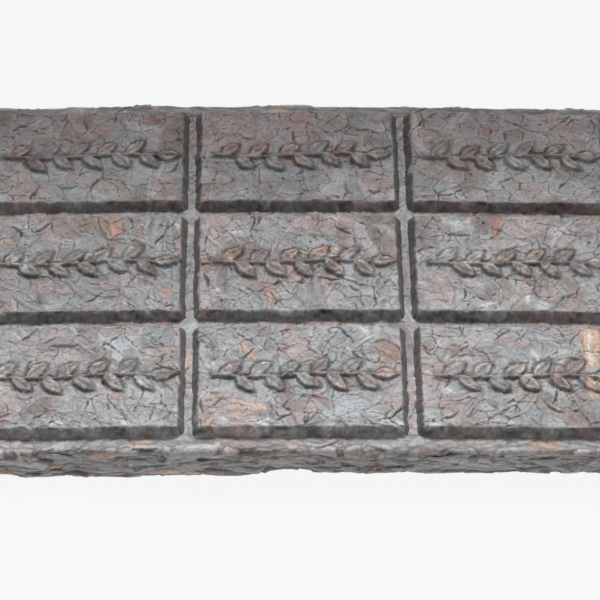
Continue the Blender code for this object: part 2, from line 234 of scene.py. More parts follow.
def evenPlaces(sheet, draw, count, lowV, highV):  # spread over the sheet, or over it from lowV to highV
    lowV = sheet["lowV"] if lowV is None else lowV
    highV = sheet["lowV"] + sheet["rows"] * sheet["stepV"] if highV is None else highV
    sizeU = sheet["columns"] * sheet["stepU"]
    start = draw.random()
    for index in range(count):
        shareU, shareV = ((start + step * index) % 1 for step in evenSteps)
        yield sheet["lowU"] + sizeU * shareU, lowV + (highV - lowV) * shareV


def scatterCracks(sheet, draw, count, lengths, widths, spread=math.pi, wander=1.0, lowV=None, highV=None):
    for u, v in evenPlaces(sheet, draw, count, lowV, highV):
        turn = draw.uniform(-1, 1) * spread
        openCrack(sheet, draw, u, v, turn, draw.uniform(*lengths) * mm, draw.uniform(*widths) * mm, wander)


def shards(u, v, size, seed):  # angular fragments: distance to their borders, and a relief that tilts each
    column, row = np.floor(u / size).astype(np.int64), np.floor(v / size).astype(np.int64)
    cells = [(column + a, row + b) for a in (-1, 0, 1) for b in (-1, 0, 1)]
    x = np.stack([u - (a + latticeValue(a, b, seed)) * size for a, b in cells])
    y = np.stack([v - (b + latticeValue(a, b, seed + 1)) * size for a, b in cells])
    order = np.argsort(x * x + y * y, axis=0)[:2]
    x, y = np.take_along_axis(x, order, 0), np.take_along_axis(y, order, 0)
    tilts = []
    for more in (2, 3):
        values = np.stack([latticeValue(a, b, seed + more) for a, b in cells])
        tilts.append(2 * np.take_along_axis(values, order[:1], 0)[0] - 1)
    border = (x[1] ** 2 + y[1] ** 2 - x[0] ** 2 - y[0] ** 2) / (2 * np.hypot(x[1] - x[0], y[1] - y[0]))
    return border, x[0] * tilts[0] + y[0] * tilts[1]


def shatter(sheet, seed, fragments, slope=0.045):  # fragments: sizes and crack widths, in mm
    u, v = sheetPlaces(sheet)
    # the borders wander, widely and finely
    warpedU = u + 0.40 * mm * bumps(u, v, 1.6, seed + 1)
    warpedV = v + 0.40 * mm * bumps(u, v, 1.6, seed + 2)
    warpedU += 0.12 * mm * bumps(u, v, 0.4, seed + 3)
    warpedV += 0.12 * mm * bumps(u, v, 0.4, seed + 4)
    for size, width in fragments:
        border, tilt = shards(warpedU / 1.5, warpedV, size * mm, seed)
        # a border is open only in places
        present = 2.0 * bumps(u, v, 2.4, seed + 5) - 0.9
        present = present + 0.9 * bumps(u, v, 0.6, seed + 6)
        sheet["crack"] = np.minimum(sheet["crack"], border - width * mm * present)
        sheet["height"] += slope * tilt
        seed += 10


def pressLeaf(sheet, leaf):
    reach = leaf["length"] / 2 + abs(leaf["bend"]) + 0.4 * mm
    columns, placesU = pixelSpan(sheet, "U", leaf["u"] - reach, leaf["u"] + reach)
    rows, placesV = pixelSpan(sheet, "V", leaf["v"] - reach, leaf["v"] + reach)
    spans = columns, rows
    du, dv = (placesU - leaf["u"])[None, :], (placesV - leaf["v"])[:, None]
    turnX, turnY = math.cos(leaf["turn"]), math.sin(leaf["turn"])
    along = (du * turnX + dv * turnY) * 2 / leaf["length"]
    across = dv * turnX - du * turnY - leaf["bend"] * (along * along - 0.4)
    halfWidth = leaf["width"] / 2 * np.clip(1 - np.abs(along) ** leaf["blunt"], 0, 1) ** 0.6
    inside = np.minimum(halfWidth - np.abs(across), (1 - np.abs(along)) * leaf["length"] / 2)
    rows, columns = np.nonzero(inside > -1.5 * leaf["torn"] - 0.15 * mm)
    if not len(rows):
        return
    at = spans[1][rows], spans[0][columns] % sheet["columns"]
    along, across, inside = along[rows, columns], across[rows, columns], inside[rows, columns]
    du, dv = du[0, columns], dv[rows, 0]
    number = leaf["number"]
    inside += leaf["torn"] * bumps(du, dv, 0.95, number)
    inside += 0.4 * leaf["torn"] * bumps(du, dv, 0.3, number)
    faint = leaf["faint"] * (softNoise(along * 1.6 + 7, np.sign(across) * 0.5, number) + 0.3)
    line = np.abs(inside) + np.clip(faint, 0, None)
    sheet["edge"][at] = np.minimum(sheet["edge"][at], line)
    on = inside > 0
    at = at[0][on], at[1][on]
    along, across, inside, line = along[on], across[on], inside[on], line[on]
    length = along * leaf["length"] / 2
    warp = 0.6 * bumps(length, across, 1.3, number + 6)
    hair = np.full(len(inside), 1.0 * mm)
    if leaf["crease"]:
        crease = softNoise(length / (3.0 * mm) + warp, across / (0.62 * mm) + warp, number + 3)
        broken = bumps(length, across, 1.6, number + 5, 0.9)
        hair = np.abs(crease) * 0.2 * mm + np.clip(broken + 0.15, 0, 1) * 0.5 * mm + 0.03 * mm
    sheet["edge"][at] = np.minimum(line, hair)
    share = across * 2 / leaf["width"]
    relief = leaf["level"] + leaf["pitch"] * along + leaf["roll"] * share + leaf["dome"] * (1 - share * share)
    relief += leaf["ripple"] * softNoise(length / (1.9 * mm), across / (0.42 * mm) + warp, number + 1)
    relief += leaf["ripple"] * softNoise(length / (0.7 * mm) + warp, across / (0.5 * mm), number + 2)
    relief += 0.6 * leaf["ripple"] * bumps(length, across, 0.33, number + 4, 0.24)
    relief -= leaf["crease"] * np.exp(-hair / (0.09 * mm))
    relief += leaf["fold"] * bell(inside - 0.25 * mm, 0.2 * mm) * (1 + np.sign(across)) / 2
    relief -= 0.04 * mm * np.exp(-inside / (0.12 * mm)) - 0.3 * sheet["height"][at]
    sheet["height"][at] = relief
    sheet["colour"][at] = leaf["colour"]
    sheet["grain"][at] = np.stack([length / mm, across / mm, np.full(len(length), number * 1.7)], 1)


def scatterLeaves(sheet, draw, kind, count, spread=math.pi / 2, lowV=None, highV=None):
    for u, v in evenPlaces(sheet, draw, count, lowV, highV):
        u += draw.uniform(-1, 1) * mm
        v += draw.uniform(-0.3, 0.3) * mm
        pressLeaf(sheet, drawLeaf(draw, kind, u, v, draw.uniform(-1, 1) * spread))


def coverSheet(sheet, draw, leaves):
    for kind, count in leaves:
        scatterLeaves(sheet, draw, kind, count)


def blurred(sheet, values, radius):  # Gaussian blur of one of the sheet's maps
    waveU = np.fft.rfftfreq(sheet["columns"], sheet["stepU"])[None, :]
    waveV = np.fft.fftfreq(sheet["rows"], sheet["stepV"])[:, None]
    filterShape = np.exp(-2 * (math.pi * radius) ** 2 * (waveU * waveU + waveV * waveV))
    return np.fft.irfft2(np.fft.rfft2(values) * filterShape, values.shape)


def crinkle(u, v, size, seed):  # sharp little ridges in all directions, from about -1 to 1
    total = 0
    for octave in range(3):
        turn, scale = 0.6 + 1.1 * octave, 1.9 ** octave / size
        a = (u * math.cos(turn) + v * math.sin(turn)) * scale
        b = (v * math.cos(turn) - u * math.sin(turn)) * scale
        total = total + (1 - 3 * np.abs(softNoise(a, b, seed + octave))) * 0.6 ** octave
    return total / 1.6


def sheetPlaces(sheet):  # u and v of every pixel
    u = sheet["lowU"] + (np.arange(sheet["columns"]) + 0.5)[None, :] * sheet["stepU"]
    v = sheet["lowV"] + (np.arange(sheet["rows"]) + 0.5)[:, None] * sheet["stepV"]
    return u, v


pressing = {
    "crackFlank": 0.09 * mm,  # how far the sides of a crack between leaves slope down
    "crinkle": 0.026 * mm,
    "crinkleSize": 0.62 * mm,
    "gape": 0.048 * mm,  # how far an open crack's gap, sunk and painted dark as shade, reaches past its line
    "gapDepth": 0.17 * mm,
    "lip": 0.05 * mm,  # how far an open crack's sides stand up
    # painted shade in the open cracks' gaps
    "gapShade": 0.80,
    "colourBlur": 0.32 * mm,
    "smoothHeight": 0.35 * mm,  # radii of the softening where the mould has slid
    "smoothColour": 0.7 * mm,
}


def finishSheet(sheet, crackDepth, hollowShade=0.13, smooth=0):
    # sinks the cracks, softens, paints shade into the hollows and the open cracks; smooth: 0 to 1, where the
    # mould has slid
    u, v = sheetPlaces(sheet)
    height = sheet["height"] - crackDepth * np.exp(-sheet["edge"] / pressing["crackFlank"])
    height += pressing["crinkle"] * crinkle(u, v, pressing["crinkleSize"], 11)
    height += smooth * (blurred(sheet, height, pressing["smoothHeight"]) - height)
    crack = sheet["crack"] + 0.05 * mm * bumps(u, v, 0.3, 17)
    gaping = bell(np.clip(crack, 0, None), pressing["gape"])
    height += pressing["lip"] * bell(crack - 0.18 * mm, 0.14 * mm) - pressing["gapDepth"] * gaping
    sheet["height"] = blurred(sheet, height, 0.055 * mm)
    sheet["edge"] += smooth * 0.12 * mm
    hollow = (blurred(sheet, height, 0.3 * mm) - sheet["height"]) / (0.03 * mm)
    # painted shade: darker in the hollows and in the open cracks
    tone = (1 - hollowShade * np.tanh(hollow)) * (1 - pressing["gapShade"] * gaping)
    for channel in range(3):
        colour = blurred(sheet, sheet["colour"][:, :, channel], pressing["colourBlur"])
        colour += smooth * (blurred(sheet, colour, pressing["smoothColour"]) - colour)
        sheet["colour"][:, :, channel] = colour * tone


def readSheet(sheet, name, u, v):  # a map's values at any places, between its pixels too
    across = (u - sheet["lowU"]) / sheet["stepU"] - 0.5
    up = np.clip((v - sheet["lowV"]) / sheet["stepV"] - 0.5, 0, sheet["rows"] - 1.001)
    if not sheet["loop"]:
        across = np.clip(across, 0, sheet["columns"] - 1.001)
    column, row = np.floor(across).astype(int), np.floor(up).astype(int)
    a, b = across - column, up - row
    values = sheet[name]
    if values.ndim == 3:
        a, b = a[:, None], b[:, None]
    left, right = column % sheet["columns"], (column + 1) % sheet["columns"]
    low = values[row, left] * (1 - a) + values[row, right] * a
    return low * (1 - b) + (values[row + 1, left] * (1 - a) + values[row + 1, right] * a) * b


def writeAttribute(mesh, name, kind, values):
    attribute = mesh.attributes.new(name, kind, "POINT")
    field = {"FLOAT": "value", "FLOAT_VECTOR": "vector", "FLOAT_COLOR": "color"}[kind]
    attribute.data.foreach_set(field, np.ascontiguousarray(values, np.float32).ravel())


def dressMesh(mesh, sheet, u, v, darkAndShade, shown):  # the sheet's maps, for the materials; shown: its vertices
    count = len(mesh.vertices)
    colour, grain = np.full((count, 4), 0.1), np.zeros((count, 3))
    edge, wall = np.full(count, 1.0), np.ones(count)
    colour[shown, :3], grain[shown] = readSheet(sheet, "colour", u, v), readSheet(sheet, "grain", u, v)
    edge[shown], wall[shown] = readSheet(sheet, "edge", u, v) / mm, darkAndShade
    writeAttribute(mesh, "leafColour", "FLOAT_COLOR", colour)
    writeAttribute(mesh, "leafGrain", "FLOAT_VECTOR", grain)
    writeAttribute(mesh, "leafEdge", "FLOAT", edge)
    writeAttribute(mesh, "pressedWallAndShade", "FLOAT", wall)


def gridOf(columns, rows, halfSize=0.5):
    bm = bmesh.new()
    bmesh.ops.create_grid(bm, x_segments=columns, y_segments=rows, size=halfSize)
    return bm


def meshOf(bm, name):
    mesh = bpy.data.meshes.new(name)
    bm.to_mesh(mesh)
    bm.free()
    return mesh


def closeSeam(mesh):  # joins the open ends, if there are any, and turns all faces outwards
    bm = bmesh.new()
    bm.from_mesh(mesh)
    seam = [vert for vert in bm.verts if vert.is_boundary]
    bmesh.ops.remove_doubles(bm, verts=seam, dist=0.0001 * mm)
    bmesh.ops.recalc_face_normals(bm, faces=bm.faces)
    bm.to_mesh(mesh)
    bm.free()


def movePoints(mesh, points):
    mesh.vertices.foreach_set("co", points.astype(np.float32).ravel())


def readPoints(mesh):
    points = np.empty(len(mesh.vertices) * 3, np.float32)
    mesh.vertices.foreach_get("co", points)
    return points.reshape(-1, 3).astype(float)


def addPiece(name, mesh, material):
    mesh.materials.append(material)
    mesh.shade_smooth()
    piece = bpy.data.objects.new(name, mesh)
    bpy.context.scene.collection.objects.link(piece)
    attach(piece, "root")
    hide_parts("tea_brick")


def closeBelow(bm):  # closes an open sheet at z 0 with a skirt ring at z -1 and one point at z -2
    rim = [edge for edge in bm.edges if edge.is_boundary]
    for drop in (-1, 0):
        made = bmesh.ops.extrude_edge_only(bm, edges=rim)["geom"]
        rim = [item for item in made if isinstance(item, bmesh.types.BMEdge)]
        ring = [item for item in made if isinstance(item, bmesh.types.BMVert)]
        bmesh.ops.translate(bm, verts=ring, vec=(0, 0, drop))
    bmesh.ops.pointmerge(bm, verts=ring, merge_co=(0, 0, -2))
    bmesh.ops.recalc_face_normals(bm, faces=bm.faces)


def closedLattice(name, columns, rows):
    bm = gridOf(columns, rows)
    closeBelow(bm)
    return meshOf(bm, name)


def normalsOf(form, x, y, step=0.02 * mm):  # unit normals of a surface given by its height
    slopeX = (form(x + step, y) - form(x - step, y)) / (2 * step)
    slopeY = (form(x, y + step) - form(x, y - step)) / (2 * step)
    normals = np.stack([-slopeX, -slopeY, np.ones(len(x))], 1)
    return normals / np.linalg.norm(normals, axis=1, keepdims=True)


sprig = {
    "seed": 700,
    "length": 25.5 * mm,
    "pairs": 5,
    "leafLength": 3.7 * mm,
    "leafWidth": 2.0 * mm,
    "leafAngle": math.radians(40),
    "stemWidth": 0.62 * mm,
    "sway": 0.3 * mm,
    "edge": 0.22 * mm,  # how softly the relief rises
    "ribDepth": 0.12 * mm,
    # ribShade and moatShade: painted shade in the midribs and in the groove round it
    "ribShade": 0.35,
    "moatDepth": 0.12 * mm,  # of the groove round it, which is also painted dark as shade
    "moatAt": 0.15 * mm,  # how far outside it is deepest
    "moatWidth": 0.29 * mm,
    "moatShade": 0.92,
    "ridgeAt": 0.34 * mm,  # how far inside the painted highlight along its edge runs
    "ridgeWidth": 0.15 * mm,
    "tone": (0.88, 0.82, 0.78),
    "worn": (0.42, 0.31, 0.22),
    "stained": (0.36, 0.42, 0.44),
    "ridge": (0.95, 0.72, 0.46),
}


def sprigOutline(x, y, number):  # how far points of a tablet are inside the sprig, and how deep in a midrib
    draw = random.Random(sprig["seed"] + number)
    bend = sprig["sway"] * np.sin(2 * math.pi * x / sprig["length"])
    inside = np.minimum(sprig["stemWidth"] / 2 - np.abs(y - bend), sprig["length"] / 2 - np.abs(x))
    rib = np.zeros(inside.shape)
    step = (sprig["length"] - sprig["leafLength"]) / sprig["pairs"]
    leaves = [(sprig["length"] / 2 - sprig["leafLength"] * 0.6, 0.0)]
    for side, lead in ((1, 0.3), (-1, 0.8)):
        for place in range(sprig["pairs"]):
            leaves.append((-sprig["length"] / 2 + (place + lead) * step, side * sprig["leafAngle"]))
    for at, turn in leaves:
        rootY = sprig["sway"] * math.sin(2 * math.pi * at / sprig["length"])
        dx, dy = x - at, y - rootY
        turn += draw.gauss(0, 0.06)
        length = sprig["leafLength"] * draw.uniform(0.93, 1.08)
        along = (dx * math.cos(turn) + dy * math.sin(turn)) / length - 0.52
        across = dy * math.cos(turn) - dx * math.sin(turn)
        across = across - 0.5 * mm * draw.uniform(-1, 1) * (along * along - 0.1)
        bulge = np.sin(math.pi * np.clip(along + 0.5, 0, 1) ** 0.85) ** 0.72
        halfWidth = sprig["leafWidth"] * draw.uniform(0.9, 1.12) / 2 * bulge
        beyond = np.clip(np.abs(along) - 0.5, 0, None) * length
        leaf = halfWidth - np.hypot(across, beyond)
        rib = np.where(leaf > 0, np.maximum(rib, bell(across, 0.13 * mm)), rib)
        inside = np.maximum(inside, leaf)
    return inside, rib


tablet = {
    "seed": 100,
    "step": 0.125 * mm,  # between the face's vertices
    "wallStep": 0.085 * mm,
    "pixel": 0.06 * mm,  # of its leaf sheet
    "sunk": 0.25 * mm,  # its foot reaches this far out under the slab's surface
    "depth": 0.6 * mm,  # below the grooves, where it is closed
    "dive": 2.2,  # how steeply its foot goes down below the grooves
    "wobble": 0.13 * mm,  # raggedness of its edges
    "straighter": 0.5,  # how much less ragged the walls along y are
    "wave": 0.12 * mm,  # unevenness of its face
    "tones": (0.97, 1.03, 1.09, 0.92, 1.09, 1.22, 0.79, 0.95, 1.08),  # how light, from the front left
    "wallBlotch": 0.55,  # how much lighter and darker spots on the walls are
    "sideBlotch": 0.7,  # share of that on the walls along y
    "wallTint": (0.96, 0.98, 1.03),
    "ruddy": 0.25,  # how far the spots vary between red and blue
    "pits": 1.1,  # how dark the pits along the top of the walls are
    "pitsAt": 0.85,  # share of the wall's run
    "pitsWidth": 0.2 * mm,
    "backWallTint": (0.0, 0.08, 0.12),  # taken off the walls of the last row
    "faceBackLight": 0.10,  # painted light: how much lighter the other rows' faces are at their back edge
    "backShade": (0.12, 0.19, 0.19),  # darker and redder towards the back of the last row
    "wallRelief": 0.6,  # share of the relief that the pressed walls keep
    "endWalls": (0.20, 0.26, 0.5),  # how dark the walls along x are, by row; those along y have 1. Darker in the back rows as painted shade
    "backWallShade": 0.85,  # painted shade: the same for the walls that face the brick's back, which get more light
    "lastColumn": 0.15,  # how much darker the walls of the right column are
    "fragmentSeed": 900,
    "fragments": ((4.6, 0.050), (2.1, 0.028)),  # sizes and crack widths, in mm
    "backFragments": ((5.2, 0.030), (2.3, 0.012)),  # the same for the last row, which is smoother
    "crackDepth": 0.05 * mm,
    "smooth": (0.0, 0.0, 0.35),  # how softened the faces are, by row from the front
    "leaves": (("broad", 90), ("strip", 34), ("broad", 26), ("strip", 12)),
    "upperLeaves": (("accent", 3), ("strip", 8), ("roll", 8), ("crumb", 10), ("glint", 16)),
    "frontGlints": 16,  # painted glints: pale and bright spots along its front edge, where it catches the light
    "cracks": ((5, (1.2, 3.6), (0.14, 0.32)), (10, (1.5, 5.0), (0.02, 0.10))),  # count, lengths, widths in mm
}

photoView = {
    "place": (-7.4 * mm, -218.0 * mm, 309.5 * mm),
    "elevation": math.radians(55),
    "yaw": math.radians(-2.04),
    "roll": math.radians(1.69),
    "lens": 151.2,  # mm
    "sensor": 36,  # mm
    "pixels": 600,  # its picture is square
    "scale": (6.8, 5.6),  # pixels for each mm on the tablets, across and up
}


def viewAxes():  # the camera's right, up and back
    yaw, elevation, roll = photoView["yaw"], photoView["elevation"], photoView["roll"]
    flat = math.cos(elevation)
    back = Vector((math.sin(yaw) * flat, -math.cos(yaw) * flat, math.sin(elevation)))
    level = Vector((math.cos(yaw), math.sin(yaw), 0))
    upright = back.cross(level)
    right = level * math.cos(roll) + upright * math.sin(roll)
    up = upright * math.cos(roll) - level * math.sin(roll)
    return right, up, back


def seenAt(pixelX, pixelY):  # the spot in mm, on the tablets' faces, that the camera shows there
    right, up, back = viewAxes()
    place, middle = Vector(photoView["place"]), photoView["pixels"] / 2
    far = photoView["lens"] / photoView["sensor"] * photoView["pixels"]
    ray = right * (pixelX - middle) / far + up * (middle - pixelY) / far - back
    height = floorAt(0) + brick["rise"]
    for _ in range(4):
        spot = place + ray * ((height - place.z) / ray.z)
        height = floorAt(spot.x) + brick["rise"]
    return spot / mm


def seenLeaf(colour, startX, startY, endX, endY, wide, bend, blunt):
    # its ends, width and bend are in the view pixels; gives mm from the middle of its tablet, and degrees
    start, end = seenAt(startX, startY), seenAt(endX, endY)
    run, middle = end - start, (start + end) / 2
    column = max(-1, min(1, round(middle.x * mm / brick["columnPitch"])))
    row = max(-1, min(1, round(middle.y * mm / brick["rowPitch"])))
    x = middle.x - column * brick["columnPitch"] / mm
    y = middle.y - row * brick["rowPitch"] / mm
    turn = math.atan2(run.y, run.x)
    scaleX, scaleY = photoView["scale"]
    scale = math.hypot(scaleX * math.sin(turn), scaleY * math.cos(turn))
    sizes = [round(size, 1) for size in (x, y, math.hypot(run.x, run.y), wide / scale)]
    return colour, *sizes, round(math.degrees(turn)), round(bend / scale, 1), blunt


# leaves that stand out, by tablet from the front left. A plain row is colour, x, y, length, width, turn, bend
# and bluntness, and a crack ends with its turn; sizes in mm, turns in degrees
notableLeaves = {
    0: (
        seenLeaf("rose", 139, 354, 161, 354, 16, 0, 3),
        seenLeaf("pale", 95, 343, 142, 342, 16, 3, 2.2),
        seenLeaf("ash", 41, 396, 127, 396, 34, 0, 2.2),
        seenLeaf("rose", -6, 403, 36, 403, 24, 0, 4),
        ("crack", -2.0, 4.8, 4.6, 0.4, -8),
    ),
    1: (
        seenLeaf("rose", 238, 331, 264, 331, 4, 0, 4),
        seenLeaf("rose", 281, 334, 291, 334, 8, 0, 3),
        seenLeaf("pale", 295, 334, 322, 334, 9, 1, 2.5),
        seenLeaf("rose", 272, 349, 324, 356, 13, 3, 5),
        seenLeaf("gold", 241, 341, 259, 363, 5, 1, 2.2),
        seenLeaf("russet", 376, 340, 402, 358, 16, 0, 3),
        seenLeaf("rose", 196, 400, 234, 399, 14, 0, 3),
        seenLeaf("peach", 230, 402, 270, 410, 9, 3, 3),
        seenLeaf("rose", 279, 409, 316, 408, 26, 0, 2.2),
        seenLeaf("pale", 318, 416, 362, 402, 14, 0, 2.2),
        seenLeaf("rose", 381, 403, 402, 403, 14, 0, 3),
        ("crack", 6.6, 7.6, 5.0, 0.3, -3),
    ),
    2: (
        seenLeaf("rose", 498, 340, 532, 340, 18, 0, 3),
        ("gold", 10.3, 2.4, 13.4, 2.5, -93, 0.0, 8),
        ("cream", 10.1, 3.6, 9.0, 1.1, -93, 0.0, 8),
        ("crack", 3.6, -5.8, 3.6, 0.3, -60),
    ),
    3: (
        seenLeaf("salmon", 116, 212, 117, 241, 16, 0, 6),
        seenLeaf("salmon", 117, 240, 114, 258, 8, 0, 3),
        seenLeaf("salmon", -4, 246, 13, 244, 10, 2, 3),
        seenLeaf("peach", 12, 290, 15, 316, 7, 0, 4),
        seenLeaf("peach", 158, 293, 172, 293, 11, 0, 2.5),
        seenLeaf("ash", 38, 240, 95, 239, 6, 7, 4),
        seenLeaf("rose", 72, 309, 101, 309, 8, 7, 3),
        seenLeaf("russet", 64, 308, 62, 322, 6, 0, 4),
        seenLeaf("rose", 176, 225, 179, 266, 8, 0, 4),
        ("crack", -9.6, 6.2, 3.2, 0.4, -22),
        ("crack", -5.6, 6.4, 3.4, 0.4, 24),
    ),
    4: (
        seenLeaf("rose", 202, 223, 231, 223, 17, 0, 6),
        seenLeaf("ember", 311, 214, 322, 222, 8, 1, 3),
        seenLeaf("peach", 315, 271, 315, 286, 7, 0, 4),
        ("crack", -13.4, -3.0, 2.6, 0.45, -58),
        ("crack", 4.8, -2.9, 3.6, 0.3, -8),
        ("crack", 8.0, -4.8, 2.2, 0.4, -55),
    ),
    5: (
        seenLeaf("ember", 495, 212, 497, 247, 8, 1, 6),
        seenLeaf("rose", 524, 227, 547, 228, 15, 2, 2.2),
        seenLeaf("peach", 521, 288, 532, 287, 9, 0, 3),
        seenLeaf("rose", 434, 300, 451, 300, 11, 0, 3),
        seenLeaf("rose", 572, 219, 600, 219, 12, 0, 4),
        ("crack", -8.0, 4.8, 3.0, 0.4, -22),
    ),
    6: (
        seenLeaf("salmon", 99, 132, 118, 131, 13, 2, 2.5),
        seenLeaf("peach", 89, 131, 100, 131, 7, 0, 4),
        seenLeaf("ember", 146, 114, 166, 141, 9, 0, 5),
        seenLeaf("rose", 18, 140, 47, 124, 9, 0, 4),
        seenLeaf("rose", -6, 185, 27, 185, 30, 0, 5),
        seenLeaf("pale", 68, 192, 106, 192, 8, 1, 4),
        seenLeaf("peach", 106, 195, 121, 195, 10, 0, 4),
        seenLeaf("rose", 151, 192, 166, 178, 10, 0, 3),
        seenLeaf("peach", 164, 183, 174, 183, 13, 0, 3),
        seenLeaf("peach", 166, 198, 179, 198, 7, 0, 4),
    ),
    7: (
        seenLeaf("rose", 213, 113, 256, 113, 10, 0, 4),
        seenLeaf("peach", 268, 127, 277, 127, 6, 0, 2),
        ("rose", 12.2, -4.9, 4.8, 3.9, 0, 0.0, 3),
        seenLeaf("pale", 368, 129, 390, 129, 16, 2, 2.2),
        seenLeaf("pale", 318, 196, 343, 181, 10, 0, 2.2),
        seenLeaf("pale", 358, 195, 387, 195, 8, 2, 2.5),
        seenLeaf("ember", 329, 152, 341, 153, 9, 0, 3),
    ),
    8: (
        seenLeaf("ember", 485, 136, 489, 121, 6, 0, 3),
        seenLeaf("salmon", 442, 132, 453, 132, 7, 0, 3),
        seenLeaf("rose", 521, 188, 542, 188, 19, 0, 2.4),
        seenLeaf("russet", 458, 180, 488, 180, 20, 2, 2.4),
        seenLeaf("rose", 504, 176, 521, 176, 9, 0, 3),
        seenLeaf("salmon", 568, 126, 577, 126, 8, 0, 3),
    ),
}


footX = (brick["columnPitch"] - brick["grooveFloor"]) / 2  # half of a tablet's length at its foot
footY = (brick["rowPitch"] - brick["grooveFloor"]) / 2
reachX, reachY = footX + tablet["sunk"], footY + tablet["sunk"]


def inFoot(x, y):
    return insideRectangle(x, y, footX, footY, brick["tabletCorner"])


def onSides(x, y):  # 1 at the walls along y, 0 at those along x
    return smoothStep(-0.4 * mm, 0.4 * mm, np.abs(x) - footX - np.abs(y) + footY)


def wallMask(x, y, number, overhang=0.5 * mm):  # overhang: how far leaves hang over the walls' top, in places
    inside = inFoot(x, y) + 0.2 * mm * bumps(x, y, 1.1, number + 70)
    inside = inside + overhang * smoothStep(0.35, 0.8, bumps(x, y, 2.3, number + 71))
    return 1 - smoothStep(brick["wallRun"] * 0.6, brick["wallRun"] * 1.15, inside)


def tabletLattice(name):  # also which of its vertices are on show, and where all of them are on plan
    zone = brick["wallRun"] + tablet["sunk"] + 0.3 * mm  # the band of closer vertices
    wallLines = round(zone / tablet["wallStep"])
    columns, rows = (round(2 * (reach - zone) / tablet["step"]) + 2 * wallLines for reach in (reachX, reachY))
    mesh = closedLattice(name, columns, rows)
    points = readPoints(mesh)
    local = []
    for axis, half, lines in ((0, reachX, columns), (1, reachY, rows)):
        knots = [-0.5, -0.5 + wallLines / lines, 0.5 - wallLines / lines, 0.5]
        local.append(np.interp(points[:, axis], knots, [-half, zone - half, half - zone, half]))
    return mesh, points[:, 2] > -0.5, *local


def layTabletLeaves(sheet, number, lastRow):
    draw = random.Random(tablet["seed"] + number)
    coverSheet(sheet, draw, tablet["leaves"])
    for kind, x, y, length, width, turn, *more in notableLeaves[number]:
        if kind == "crack":
            turn = math.radians(turn)
            startX, startY = x - length / 2 * math.cos(turn), y - length / 2 * math.sin(turn)
            openCrack(sheet, draw, startX * mm, startY * mm, turn, length * mm, width * mm)
        else:
            pressLeaf(sheet, placeLeaf(draw, kind, x, y, length, width, turn, *more))
    coverSheet(sheet, draw, tablet["upperLeaves"][lastRow:])  # no accents in the last row
    for count, lengths, widths in tablet["cracks"]:
        scatterCracks(sheet, draw, count, lengths, widths)
    frontEdge = brick["wallRun"] - footY
    scatterLeaves(sheet, draw, "glint", tablet["frontGlints"], 0.5, frontEdge, frontEdge + 1.6 * mm)


def tintTablet(sheet, number, lastRow, onWall):  # blotched walls, how light the tablet is, and painted light on the faces towards their back edge
    u, v = sheetPlaces(sheet)

    def wallSpots(along, across):
        spots = bumps(along, across, 1.7, number + 10, 0.5)
        spots += 0.8 * bumps(along, across, 0.6, number, 0.22)
        return spots + 0.4 * bumps(along, across, 0.3, number + 11, 0.11)

    blotch = wallSpots(u, v)
    blotch += onSides(u, v) * (tablet["sideBlotch"] * wallSpots(v, u) - blotch)
    pitted = smoothStep(-0.3, 0.5, bumps(u, v, 0.8, number + 12))
    fromPits = inFoot(u, v) - tablet["pitsAt"] * brick["wallRun"]
    blotch -= tablet["pits"] * pitted * bell(fromPits, tablet["pitsWidth"])
    warmth = bumps(u, v, 0.9, number + 20, 0.7)[:, :, None]
    ruddy = 1 + tablet["ruddy"] * warmth * np.array((1, 0, -0.6))
    blotches = 1 + tablet["wallBlotch"] * blotch[:, :, None] * ruddy
    colour, wallShare = sheet["colour"], onWall[:, :, None]
    colour *= 1 + wallShare * (blotches * np.array(tablet["wallTint"]) - 1)
    colour *= 1 + (1 - wallShare) * (tablet["tones"][number] - 1)
    if lastRow:
        colour *= 1 - wallShare * np.array(tablet["backWallTint"])
        colour *= 1 - smoothStep(-3 * mm, 8 * mm, v)[:, :, None] * np.array(tablet["backShade"])
    else:
        # painted light: the faces lighter towards their back edge
        colour *= (1 + tablet["faceBackLight"] * v / footY)[:, :, None]


def raiseSprig(sheet, number, inside, rib):  # its relief, mottled tint, painted highlights along its edges, and painted shade in the groove round it and the midribs
    u, v = sheetPlaces(sheet)
    raised = smoothStep(-0.04 * mm, sprig["edge"], inside)
    worn = 0.8 + 0.35 * bumps(u, v, 1.2, number + 80)
    moat = bell(inside + sprig["moatAt"], sprig["moatWidth"]) * worn
    # painted highlight along the raised edges
    ridge = bell(inside - sprig["ridgeAt"], sprig["ridgeWidth"]) * (1 - rib)
    ridge *= smoothStep(0.1, 0.8, bumps(u, v, 1.0, number + 50))
    relief = brick["sprigRise"] * raised - sprig["ribDepth"] * rib * raised
    sheet["height"] += relief - sprig["moatDepth"] * moat
    # painted shade in the groove round it and in the midribs
    shade = (1 - sprig["moatShade"] * moat) * (1 - sprig["ribShade"] * rib * raised)
    mottled = bumps(u, v, 0.9, number + 30, 0.7) + 0.6 * bumps(u, v, 0.35, number)
    tint = np.array(sprig["tone"]) - 1 + smoothStep(0.25, 1.0, mottled)[:, :, None] * np.array(sprig["worn"])
    tint = tint - smoothStep(0.1, 1.0, -mottled)[:, :, None] * np.array(sprig["stained"])
    light = 1 + tint * raised[:, :, None] + ridge[:, :, None] * np.array(sprig["ridge"])
    sheet["colour"] *= shade[:, :, None] * light


# the walls' darkness: partly the pressed walls' own darker colour, partly painted shade that depends on the
# way a wall faces and on its row
def wallDarkAndShade(x, y, number, wall):
    row, column = divmod(number, brick["columns"])
    darkness = wall * np.where(np.abs(x) - footX > np.abs(y) - footY, 1.0, tablet["endWalls"][row])
    # painted shade on the walls that face the back
    behind = (y > 0) * (1 - onSides(x, y))
    behind *= 1 - smoothStep(0.3, 0.75, inFoot(x, y) / brick["wallRun"])
    darkness = np.maximum(darkness, tablet["backWallShade"] * behind)
    if column == brick["columns"] - 1:
        darkness += tablet["lastColumn"] * wall * (1 - darkness)
    return darkness


